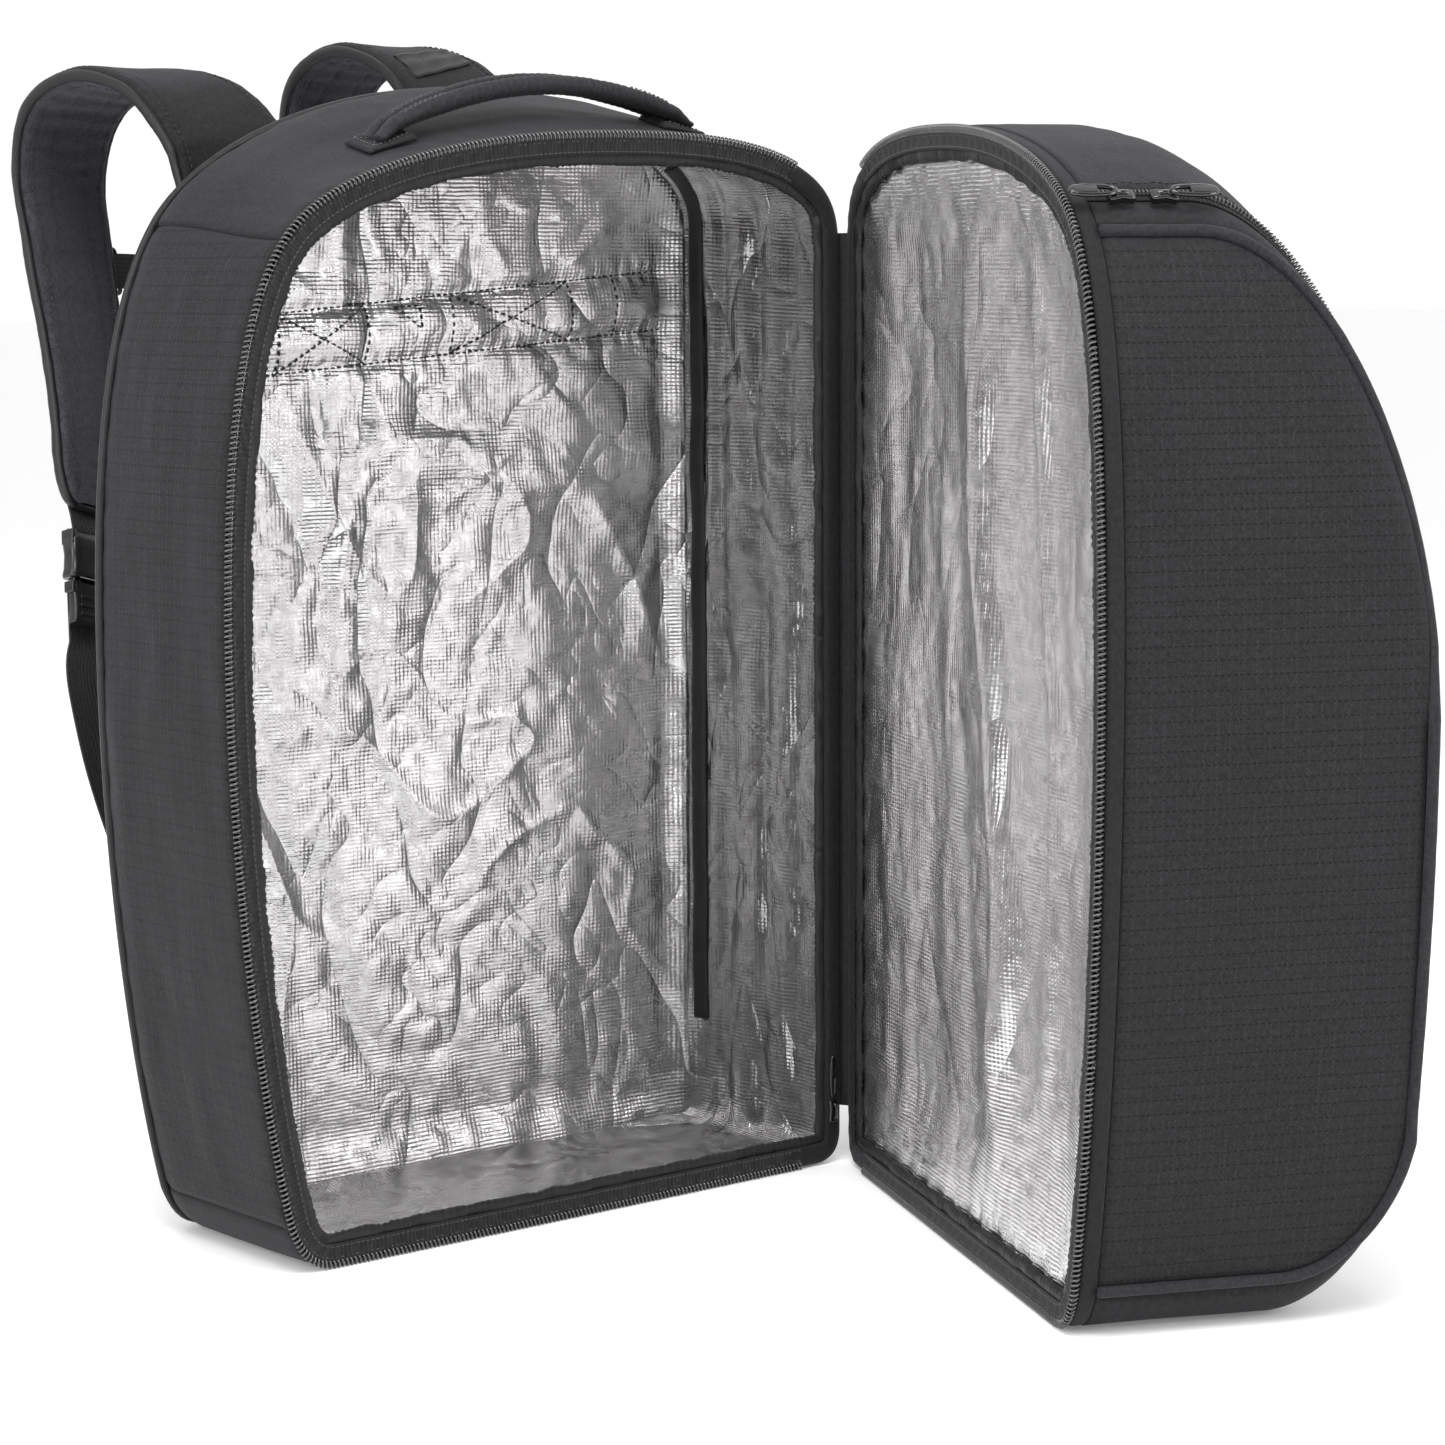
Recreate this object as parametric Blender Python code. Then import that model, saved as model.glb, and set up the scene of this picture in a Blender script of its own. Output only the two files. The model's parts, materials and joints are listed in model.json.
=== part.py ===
"""Ski boot backpack bag: a main boot compartment whose whole front is a deep
helmet door hinged on one vertical edge, shown standing open, with two padded
shoulder straps on the back.  Metres, +Z up, +Y to the back of the bag."""

import math

import bmesh
import bpy
import numpy as np
from mathutils import Matrix, Vector

for obj in list(bpy.data.objects):
    bpy.data.objects.remove(obj, do_unlink=True)

# ------------------------------------------------------------ driving sizes
HINGE_X = 0.176          # door hinge line, right of the main base's centre
HINGE_Y = -0.074         # hinge plane, between the two zip halves
MAIN_DEPTH = 0.142       # hinge plane to the back of the back panel
DOOR_DEPTH = 0.160       # hinge plane to the door's front face
DOOR_OPEN = 64.4         # degrees the door stands open
BACK_R = 0.040           # rounding between sides and back
DOME = 0.026             # rise of the top panel towards the back
SHELL = 0.0024           # padded outer fabric
LINE_IN = 0.0031         # outer face of the foil lining, from the outside
LINE_T = 0.0012          # foil lining
SLIT = 0.0004            # half of each seam slit
FRONT_TOP_A = 0.102      # door front curve: depth semi-axis at the top
FRONT_TOP_Z = 0.280      # height where the door's front starts to curve back
FRONT_BOT_A = 0.060      # the same at the bottom
FRONT_BOT_Z = 0.100
FLAP_HINGE_Z = 0.086     # fold line of the helmet flap
WEB_W = 0.025            # webbing width
WEB_T = 0.0016

OPEN = math.radians(DOOR_OPEN)
DE = np.array([-math.cos(OPEN), -math.sin(OPEN), 0.0])   # along the door, to its free edge
DN = np.array([math.sin(OPEN), -math.cos(OPEN), 0.0])    # through the door, to its front
HINGE = np.array([HINGE_X, HINGE_Y, 0.0])


# ------------------------------------------------------------ outline
def bez(a, b, c, d, n=60):
    t = np.linspace(0, 1, n, endpoint=False)[:, None]
    a, b, c, d = (np.array(p, float) for p in (a, b, c, d))
    return (1 - t) ** 3 * a + 3 * (1 - t) ** 2 * t * b + 3 * (1 - t) * t * t * c + t ** 3 * d


def straight(a, b, n=40):
    return bez(a, np.array(a) + (np.array(b) - np.array(a)) / 3, np.array(a) + (np.array(b) - np.array(a)) * 2 / 3, b, n)


# The opening's outline, (distance from the hinge, height): flat base, bowed
# free side, arched top, straight hinge side.
OUTLINE = np.vstack([
    straight((0.018, 0.0), (0.332, 0.0)),
    bez((0.332, 0.0), (0.346, 0.0), (0.353, 0.008), (0.3585, 0.022)),
    bez((0.3585, 0.022), (0.372, 0.075), (0.388, 0.18), (0.388, 0.300)),
    bez((0.388, 0.300), (0.388, 0.40), (0.377, 0.465), (0.352, 0.497)),
    bez((0.352, 0.497), (0.328, 0.530), (0.25, 0.5475), (0.170, 0.5500)),
    bez((0.170, 0.5500), (0.12, 0.5515), (0.070, 0.5510), (0.036, 0.5385)),
    bez((0.036, 0.5385), (0.012, 0.5290), (0.0, 0.518), (0.0, 0.495)),
    straight((0.0, 0.495), (0.0, 0.018)),
    bez((0.0, 0.018), (0.0, 0.006), (0.006, 0.0), (0.018, 0.0)),
])
_seg = np.linalg.norm(np.roll(OUTLINE, -1, 0) - OUTLINE, axis=1)
LENGTH = _seg.sum()
_cum = np.concatenate([[0], np.cumsum(_seg)]) / LENGTH
_loop = np.vstack([OUTLINE, OUTLINE[:1]])


def outline(t, inset=0.0):
    t = t % 1.0
    w = np.interp(t, _cum, _loop[:, 0])
    z = np.interp(t, _cum, _loop[:, 1])
    h = 0.004 / LENGTH
    w0, z0 = (np.interp((t - h) % 1.0, _cum, _loop[:, k]) for k in (0, 1))
    w1, z1 = (np.interp((t + h) % 1.0, _cum, _loop[:, k]) for k in (0, 1))
    length = math.hypot(w1 - w0, z1 - z0)
    nw, nz = (z1 - z0) / length, -(w1 - w0) / length
    return w - nw * inset, z - nz * inset, nw, nz


def t_at(w, z):
    return float(_cum[int(np.argmin(np.hypot(OUTLINE[:, 0] - w, OUTLINE[:, 1] - z)))])


T_BL = t_at(0.3585, 0.022)      # end of the bottom free corner
T_TL = t_at(0.352, 0.497)       # seam between side and top
T_TR = t_at(0.010, 0.5265)      # seam between top and hinge side
T_BR = t_at(0.0, 0.018)         # start of the bottom hinge corner
SL = SLIT / LENGTH

# Samples round the outline, closer together where it turns.
_d = np.roll(OUTLINE, -1, 0) - OUTLINE
_a = np.arctan2(_d[:, 1], _d[:, 0])
_turn = np.abs((np.roll(_a, -1) - _a + math.pi) % (2 * math.pi) - math.pi)
_measure = np.concatenate([[0], np.cumsum(_seg / 0.050 + _turn / 0.30)])
N_RING = 64
RING_T = [float(t) for t in np.interp(np.linspace(0, _measure[-1], N_RING, endpoint=False), _measure, _cum)]


def between(t0, t1):
    """t0, the ring samples between, and t1."""
    every = [t + k for k in (-1, 0, 1) for t in RING_T]
    return [t0] + sorted(t for t in every if t0 + 0.0016 < t < t1 - 0.0016) + [t1]


# ------------------------------------------------------------ mesh helpers
def material(name, rgb, rough=0.8, metal=0.0):
    mat = bpy.data.materials.new(name)
    mat.use_nodes = True
    node = mat.node_tree.nodes["Principled BSDF"]
    node.inputs["Base Color"].default_value = (*rgb, 1)
    node.inputs["Roughness"].default_value = rough
    node.inputs["Metallic"].default_value = metal
    return mat


LOOKS = {
    "shell": ((0.035, 0.034, 0.038), 0.85, 0.0),
    "foil": ((0.62, 0.62, 0.62), 0.35, 0.6),
    "black": ((0.012, 0.012, 0.013), 0.7, 0.0),
    "coil": ((0.02, 0.02, 0.02), 0.3, 0.0),
    "foam": ((0.055, 0.053, 0.065), 0.9, 0.0),
    "plastic": ((0.012, 0.012, 0.012), 0.3, 0.0),
    "metal": ((0.02, 0.02, 0.02), 0.2, 0.0),
}


def finish(name, points, faces, look, smooth=True):
    mesh = bpy.data.meshes.new(name)
    mesh.from_pydata([tuple(map(float, p)) for p in points], [], faces)
    work = bmesh.new()
    work.from_mesh(mesh)
    bmesh.ops.remove_doubles(work, verts=work.verts, dist=1e-7)
    bmesh.ops.triangulate(work, faces=[f for f in work.faces if len(f.verts) > 4])
    bmesh.ops.recalc_face_normals(work, faces=work.faces)
    if work.calc_volume(signed=True) < 0:
        bmesh.ops.reverse_faces(work, faces=work.faces)
    work.to_mesh(mesh)
    work.free()
    obj = bpy.data.objects.new(name, mesh)
    bpy.context.scene.collection.objects.link(obj)
    mesh.materials.append(material(name + "_mat", *LOOKS[look]))
    for poly in mesh.polygons:
        poly.use_smooth = smooth
    return obj


def slab(name, outer, inner, look, closed=False):
    """Closed solid between two equal grids of points; closed joins the first and last rows."""
    outer, inner = np.asarray(outer, float), np.asarray(inner, float)
    nu, nv = outer.shape[:2]
    points = np.vstack([outer.reshape(-1, 3), inner.reshape(-1, 3)])
    base = nu * nv
    faces = []
    for i in range(nu if closed else nu - 1):
        j = (i + 1) % nu
        for k in range(nv - 1):
            faces.append((i * nv + k, j * nv + k, j * nv + k + 1, i * nv + k + 1))
            faces.append((base + i * nv + k, base + i * nv + k + 1, base + j * nv + k + 1, base + j * nv + k))
        for k in (0, nv - 1):
            a, b = i * nv + k, j * nv + k
            faces.append((a, b, base + b, base + a) if k else (b, a, base + a, base + b))
    if not closed:
        for i in (0, nu - 1):
            for k in range(nv - 1):
                a, b = i * nv + k, i * nv + k + 1
                faces.append((a, b, base + b, base + a))
    return finish(name, points, faces, look)


def plate(name, rings, look):
    """Closed solid from a stack of rings, with a fan at each end."""
    rings = [np.asarray(r, float) for r in rings]
    n = len(rings[0])
    points = np.vstack(rings + [rings[0].mean(0)[None], rings[-1].mean(0)[None]])
    faces = []
    for r in range(len(rings) - 1):
        for i in range(n):
            j = (i + 1) % n
            faces.append((r * n + i, r * n + j, (r + 1) * n + j, (r + 1) * n + i))
    a, b = len(rings) * n, len(rings) * n + 1
    last = (len(rings) - 1) * n
    for i in range(n):
        j = (i + 1) % n
        faces.append((j, i, a))
        faces.append((last + i, last + j, b))
    return finish(name, points, faces, look)


def sweep(name, path, sides, tang, section, look):
    """Closed solid of cross-sections along a path. section(i) gives (side, normal) pairs in metres."""
    rings = []
    for i, p in enumerate(path):
        s = np.asarray(sides[i], float)
        t = np.asarray(tang[i], float)
        s = s - t * np.dot(s, t)
        s /= np.linalg.norm(s)
        nrm = np.cross(t, s)
        rings.append([np.asarray(p) + s * a + nrm * b for a, b in section(i)])
    return plate(name, rings, look)


def box_section(wide, thick, r=0.3):
    """Rounded flat section, wide by thick."""
    a, b = wide / 2, thick / 2
    c = min(a, b) * r
    return [(-a, -b + c), (-a + c, -b), (a - c, -b), (a, -b + c), (a, b - c), (a - c, b), (-a + c, b), (-a, b - c)]


def oval(wide, thick, n=12):
    return [(wide / 2 * math.cos(2 * math.pi * k / n), thick / 2 * math.sin(2 * math.pi * k / n)) for k in range(n)]


def spline(points, n):
    """Smooth curve through the given points, n samples evenly spaced, with tangents."""
    pts = np.asarray(points, float)
    ext = np.vstack([2 * pts[0] - pts[1], pts, 2 * pts[-1] - pts[-2]])
    out = []
    for i in range(1, len(ext) - 2):
        p0, p1, p2, p3 = ext[i - 1:i + 3]
        for t in np.linspace(0, 1, 24, endpoint=False):
            out.append(0.5 * (2 * p1 + (p2 - p0) * t + (2 * p0 - 5 * p1 + 4 * p2 - p3) * t * t + (3 * p1 - p0 - 3 * p2 + p3) * t ** 3))
    out.append(pts[-1])
    out = np.array(out)
    s = np.concatenate([[0], np.cumsum(np.linalg.norm(np.diff(out, axis=0), axis=1))])
    at = np.linspace(0, s[-1], n)
    path = np.stack([np.interp(at, s, out[:, k]) for k in range(3)], 1)
    tang = np.gradient(path, axis=0)
    tang /= np.linalg.norm(tang, axis=1)[:, None]
    return path, tang


def box(name, centre, half, look, axes=np.eye(3), chamfer=0.0):
    axes = np.asarray(axes, float)
    cx, cy, cz = half
    c = chamfer
    ring = [(-cx, -cy + c), (-cx + c, -cy), (cx - c, -cy), (cx, -cy + c), (cx, cy - c), (cx - c, cy), (-cx + c, cy), (-cx, cy - c)] if c else [(-cx, -cy), (cx, -cy), (cx, cy), (-cx, cy)]
    rings = [[np.asarray(centre) + axes[0] * a + axes[1] * b + axes[2] * h for a, b in ring] for h in (-cz, cz)]
    obj = plate(name, rings, look)
    for poly in obj.data.polygons:
        poly.use_smooth = False
    return obj


# ------------------------------------------------------------ main compartment
def smooth(x):
    x = min(max(x, 0.0), 1.0)
    return x * x * (3 - 2 * x)


def back_inset(y):
    over = max(0.0, y - (MAIN_DEPTH - BACK_R))
    return BACK_R - math.sqrt(max(0.0, BACK_R ** 2 - over ** 2))


def main_pt(t, y, inset):
    w, z, nw, nz = outline(t, back_inset(y) + inset)
    rise = DOME * smooth((y - 0.004) / 0.105) * smooth((z - 0.38) / 0.16) * (0.25 + 0.75 * math.sin(math.pi * min(max(w / 0.372, 0.0), 1.0)))
    return np.array([HINGE_X - w, HINGE_Y + y, z + rise])


def main_band(name, t0, t1, ys, outer, inner, look, closed=False):
    ts = RING_T if closed else between(t0, t1)
    out = [[main_pt(t, y, outer) for y in ys] for t in ts]
    inn = [[main_pt(t, y, inner) for y in ys] for t in ts]
    return slab(name, out, inn, look, closed)


YS = (0.0042, 0.035, 0.068, 0.100, 0.112, 0.122, 0.1290)
main_band("left_side_panel", T_BL + SL, T_TL - SL, YS, 0, SHELL, "shell")
main_band("top_panel", T_TL + SL, T_TR - SL, YS, 0, SHELL, "shell")
main_band("right_side_panel", T_TR + SL, T_BR - SL, YS, 0, SHELL, "shell")
main_band("bottom_panel", T_BR + SL - 1, T_BL - SL, YS, 0, SHELL, "shell")

LYS = (0.0046, 0.035, 0.068, 0.100, 0.112, 0.122, 0.1250)
L0, L1 = LINE_IN, LINE_IN + LINE_T
main_band("lining_left", T_BL + SL, T_TL - SL, LYS, L0, L1, "foil")
main_band("lining_top", T_TL + SL, T_TR - SL, LYS, L0, L1, "foil")
main_band("lining_right", T_TR + SL, T_BR - SL, LYS, L0, L1, "foil")
main_band("lining_floor", T_BR + SL - 1, T_BL - SL, LYS, L0, L1, "foil")

plate("lining_back", [[main_pt(t, y, i) for t in RING_T] for y, i in ((0.1256, L0 + 0.0012), (0.1272, L0 + 0.0012))], "foil")
plate("back_panel", [[main_pt(t, y, i) for t in RING_T] for y, i in ((0.1295, 0.0), (0.1345, 0.0), (0.1385, 0.0), (0.1412, -0.001), (0.1420, -0.002))], "shell")

# Zip halves run from the bottom of the hinge edge round to its top.
Z0 = t_at(0.030, 0.0)
Z1 = t_at(0.030, 0.536)
main_band("main_zip_coil", Z0, Z1, (0.0005, 0.0036), 0.0004, 0.0032, "coil")
main_band("main_zip_tape", Z0, Z1, (0.0010, 0.0028), 0.0037, 0.0088, "black")
main_band("main_binding", 0, 1, (0.0030, 0.0066), 0.0097, 0.0165, "black", closed=True)

# Seam piping round the back panel.
def piping_ring(t):
    w, z, nw, nz = outline(t, back_inset(0.118))
    c = main_pt(t, 0.118, -0.0034)
    out = np.array([-nw, 0, nz])
    return [c + out * (0.0014 * math.cos(a)) + np.array([0, 1, 0]) * (0.0014 * math.sin(a)) for a in (0, math.pi / 2, math.pi, 3 * math.pi / 2)]


def piping_band(name, t0, t1):
    rings = [piping_ring(t) for t in between(t0, t1)]
    return plate(name, rings, "black")


piping_band("back_seam_piping", T_BL + 0.01, T_BR - 0.004)

# ------------------------------------------------------------ door
def free_w(z):
    """Bow of the free side with no corners."""
    return 0.388 - 0.036 * ((z - 0.30) / 0.30) ** 2


def door_wz(t, d, inset):
    w, z, nw, nz = outline(t, inset)
    a_top, a_bot = FRONT_TOP_A - inset, FRONT_BOT_A - inset
    c_top, c_bot = DOOR_DEPTH - FRONT_TOP_A, DOOR_DEPTH - FRONT_BOT_A
    e_top = math.sqrt(1 - min(max((d - c_top) / a_top, 0.0), 0.985) ** 2)
    e_bot = math.sqrt(1 - min(max((d - c_bot) / a_bot, 0.0), 0.985) ** 2)
    z2 = z
    if z > FRONT_TOP_Z:
        z2 = FRONT_TOP_Z + (z - FRONT_TOP_Z) * e_top
    if z < FRONT_BOT_Z:
        z2 = FRONT_BOT_Z - (FRONT_BOT_Z - z) * e_bot
    # The rounded top corner fades out towards the front face.
    fade = min(max(free_w(z) - w, 0.0), 0.0205 * w / 0.352) * (1 - e_top) if z > FRONT_TOP_Z else 0.0
    return w * free_w(z2) / free_w(z) + fade, z2


def door_world(w, d, z):
    return HINGE + DE * w + DN * d + np.array([0, 0, z])


def door_pt(t, d, inset):
    w, z = door_wz(t, d, inset)
    return door_world(w, d, z)


def door_band(name, t0, t1, ds, outer, inner, look, closed=False):
    ts = RING_T if closed else between(t0, t1)
    out = [[door_pt(t, d, outer) for d in ds] for t in ts]
    inn = [[door_pt(t, d, inner) for d in ds] for t in ts]
    return slab(name, out, inn, look, closed)


door_band("door_zip_coil", Z0, Z1, (0.0005, 0.0036), 0.0004, 0.0032, "coil")
door_band("door_zip_tape", Z0, Z1, (0.0010, 0.0028), 0.0037, 0.0088, "black")
door_band("door_binding", 0, 1, (0.0026, 0.0062), 0.0097, 0.0165, "black", closed=True)
door_band("door_rim", 0, 1, (0.0042, 0.0118), 0, SHELL, "shell", closed=True)
plate("door_inner_panel", [[door_pt(t, d, 0.0034) for t in RING_T] for d in (0.0066, 0.0082)], "foil")

DS = (0.0124, 0.035, 0.058, 0.078, 0.097, 0.112, 0.125, 0.136, 0.145, 0.152, 0.157, DOOR_DEPTH)
PIPE = 0.0035 / LENGTH
DS_SIDE = DS[:-1]
door_band("door_side_panel", T_BL + 1.5 * PIPE, T_TL - 2.3 * PIPE, DS_SIDE, 0, SHELL, "shell")
door_band("door_hinge_panel", T_TR + 0.003 / LENGTH, T_BR - 0.004 / LENGTH, DS_SIDE, 0, SHELL, "shell")

# Front edge of the free side panel, as (height, distance from the hinge).
_edge = sorted((door_wz(t, DOOR_DEPTH, 0)[1], door_wz(t, DOOR_DEPTH, 0)[0]) for t in np.linspace(T_BL, T_TL, 60))


def edge_w(z):
    return float(np.interp(z, [e[0] for e in _edge], [e[1] for e in _edge]))


def hinge_w(z):
    return 0.0060


def front_pt(frac_w, z, k):
    bulge = 0.0
    return door_world(frac_w, DOOR_DEPTH - k + bulge, z)


# Columns across the wrap panels: off is the distance in from the free seam,
# frac moves on towards the hinge side.
T_TH = T_TR - 0.003 / LENGTH
T_BH = T_BR + 0.004 / LENGTH - 1


def t_in_from(t, off, way):
    """Parameter of the outline point off nearer the hinge than the one at t."""
    w = outline(t)[0] - off
    step = np.arange(0, 0.09, 0.0001)
    at = np.array([outline(t + way * q)[0] for q in step])
    return t + way * float(np.interp(-w, -at, step))


def column(off, frac, k, top=True, front=True, bottom=False, z_low=None, z_high=None):
    t_top = t_in_from(T_TL, off, 1)
    t_bot = t_in_from(T_BL, off, -1)
    t_top += frac * (T_TH - t_top)
    t_bot += frac * (T_BH - t_bot)
    pts = []
    w_top, z_top = door_wz(t_top, DOOR_DEPTH, k)
    w_bot, z_bot = door_wz(t_bot, DOOR_DEPTH, k)
    if top:
        pts += [door_world(*(lambda q: (q[0], d, q[1]))(door_wz(t_top, d, k))) for d in DS[:-1]]
        if k > 0:
            pts[-1] = door_world(w_top, DOOR_DEPTH - k, z_top - 0.002)
            pts[-2] = door_world(*(lambda q: (q[0], 0.1505, q[1]))(door_wz(t_top, 0.1505, k)))
    if front:
        zs = np.linspace(z_top, z_bot, 9)
        for z in zs:
            if z_low is not None and z < z_low - 1e-9:
                continue
            if z_high is not None and z > z_high + 1e-9:
                continue
            f = (z_top - z) / (z_top - z_bot)
            bow = edge_w(z) - ((1 - f) * edge_w(z_top) + f * edge_w(z_bot))
            w = (1 - f) * w_top + f * w_bot + bow * (1 - frac)
            pts.append(door_world(w, DOOR_DEPTH - k, z if k <= 0 or f > 0 else z - 0.004))
        if z_low is not None:
            f = (z_top - z_low) / (z_top - z_bot)
            bow = edge_w(z_low) - ((1 - f) * edge_w(z_top) + f * edge_w(z_bot))
            pts.append(door_world((1 - f) * w_top + f * w_bot + bow * (1 - frac), DOOR_DEPTH - k, z_low))
    if bottom:
        f = 1.0
        pts.append(door_world(w_bot, DOOR_DEPTH - k, z_bot))
        for d in DS[::-1][1:]:
            if k > 0 and d > DOOR_DEPTH - k - 0.0002:
                d = DOOR_DEPTH - k - 0.0002
            pts.append(door_world(*(lambda q: (q[0], d, q[1]))(door_wz(t_bot, d, k))))
    return np.array(pts)


def wrap(name, columns, outer, inner, look, **where):
    out = [column(o, f, outer, **where) for o, f in columns]
    inn = [column(o, f, inner, **where) for o, f in columns]
    return slab(name, out, inn, look)


TOPFRONT = dict(z_low=FLAP_HINGE_Z + 0.010)
wrap("helmet_gusset", [(0.0022, 0), (0.008, 0), (0.0144, 0)], 0, SHELL, "shell", **TOPFRONT)
wrap("helmet_zip_chain", [(0.0153, 0), (0.0206, 0)], -0.0008, 0.0016, "coil", **TOPFRONT)
wrap("helmet_flap", [(0.0229, f) for f in np.linspace(0, 1, 13)], 0, SHELL, "shell", **TOPFRONT)
wrap("door_bottom_panel", [(0.0030, f) for f in np.linspace(0, 1, 12)], 0, SHELL, "shell", top=False, front=False, bottom=True)

# Piping along the seam between the free side panel and the wrap panels.
def seam_path():
    pts = [door_pt(T_TL, d, -0.0004) for d in DS]
    zs = np.linspace(door_wz(T_TL, DOOR_DEPTH, 0)[1], door_wz(T_BL, DOOR_DEPTH, 0)[1], 9)
    pts += [door_world(edge_w(z) + 0.0008, DOOR_DEPTH - 0.0009, z) for z in zs]
    pts += [door_pt(T_BL + 0.0003, d, -0.0012) for d in DS[::-1]]
    return np.array(pts)


_path, _tang = spline(seam_path()[2:-2], 54)
sweep("door_side_piping", _path, [np.cross(DE, t) for t in _tang], _tang, lambda i: oval(0.0024, 0.0024, 6), "black")

# Helmet zip sliders and pulls, on the straight top run of the zip.
SLIDER_A_D, SLIDER_B_D = 0.026, 0.046
T_SL = T_TL + 0.0174 / LENGTH
_w, _z, _nw, _nz = outline(T_SL, 0.0)
UP = DE * _nw + np.array([0, 0, _nz])
UP /= np.linalg.norm(UP)
ACROSS = np.cross(DN, UP)


def on_zip(d, lift):
    w, z, nw, nz = outline(T_SL, -lift)
    return door_world(w, d, z)


for tag, d, way in (("a", SLIDER_A_D, -1), ("b", SLIDER_B_D, 1)):
    box("helmet_slider_" + tag, on_zip(d, 0.0036), (0.0032, 0.0058, 0.0018), "metal", (ACROSS, DN, UP), 0.0012)
    hinge_at = on_zip(d + way * 0.0036, 0.0074)
    pull = box("helmet_pull_" + tag, on_zip(d + way * 0.0138, 0.0074), (0.0026, 0.0112, 0.0009), "metal", (ACROSS, DN, UP), 0.0010)

# Parked slider and pull of the main zip, in the bottom hinge corner.
box("main_slider", main_pt(T_BR, 0.0022, 0.0066) + np.array([0, 0, 0.010]), (0.0024, 0.0014, 0.0060), "metal", chamfer=0.0008)
box("main_pull", main_pt(T_BR, 0.0016, 0.0066) + np.array([0, 0, 0.0290]), (0.0019, 0.0008, 0.0110), "metal", chamfer=0.0005)

# Grab handle: two padded tubes sewn down at both ends.
HANDLE_X = (-0.085, 0.083)
HANDLE_Y = -0.036
HANDLE_R = 0.0050


def top_z(x, y):
    """Height of the outer top surface under (x, y)."""
    best = min((abs(main_pt(t, y - HINGE_Y, 0)[0] - x), main_pt(t, y - HINGE_Y, 0)[2]) for t in np.linspace(T_TL - 0.02, T_TR, 240))
    return best[1]


Z_END = [top_z(x, HANDLE_Y) for x in HANDLE_X]
for tag, x, z, way in (("left", HANDLE_X[0], Z_END[0], -1), ("right", HANDLE_X[1], Z_END[1], 1)):
    slope = (top_z(x + 0.008, HANDLE_Y) - top_z(x - 0.008, HANDLE_Y)) / 0.016
    ax = np.array([1.0, 0, slope]) / math.hypot(1, slope)
    up = np.cross(ax, [0, 1.0, 0])
    up = up if up[2] > 0 else -up
    box("handle_anchor_" + tag, np.array([x + way * 0.012, HANDLE_Y, z]) + ax * way * 0.0 + np.array([0, 0, way * slope * 0.012]) + up * 0.0056, (0.0105, 0.0110, 0.0014), "black", (ax, np.array([0, 1.0, 0]), up), 0.003)

PIVOT_Z = [Z_END[0] + 0.0085, Z_END[1] + 0.0085]
HANDLE_AXIS_A = np.array([HANDLE_X[0], HANDLE_Y, PIVOT_Z[0]])
HANDLE_AXIS_B = np.array([HANDLE_X[1], HANDLE_Y, PIVOT_Z[1]])
for tag, off in (("front", -0.0056), ("back", 0.0056)):
    pts = []
    for f in np.linspace(0, 1, 9):
        p = HANDLE_AXIS_A * (1 - f) + HANDLE_AXIS_B * f
        arch = math.sin(math.pi * f)
        p = p + np.array([0, off * (0.96 + 0.25 * arch), 0.018 * arch ** 0.85 + (0.0008 if tag == "back" else -0.0008) * arch])
        pts.append(p)
    path, tang = spline(pts, 22)
    sweep("handle_tube_" + tag, path, [np.array([0, 1.0, 0])] * len(path), tang, lambda i: oval(2 * HANDLE_R, 2 * HANDLE_R, 8), "shell")

# ------------------------------------------------------------ shoulder straps
box("strap_yoke", (-0.022, 0.0736, 0.4900), (0.110, 0.0048, 0.0165), "shell", chamfer=0.002)


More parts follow.
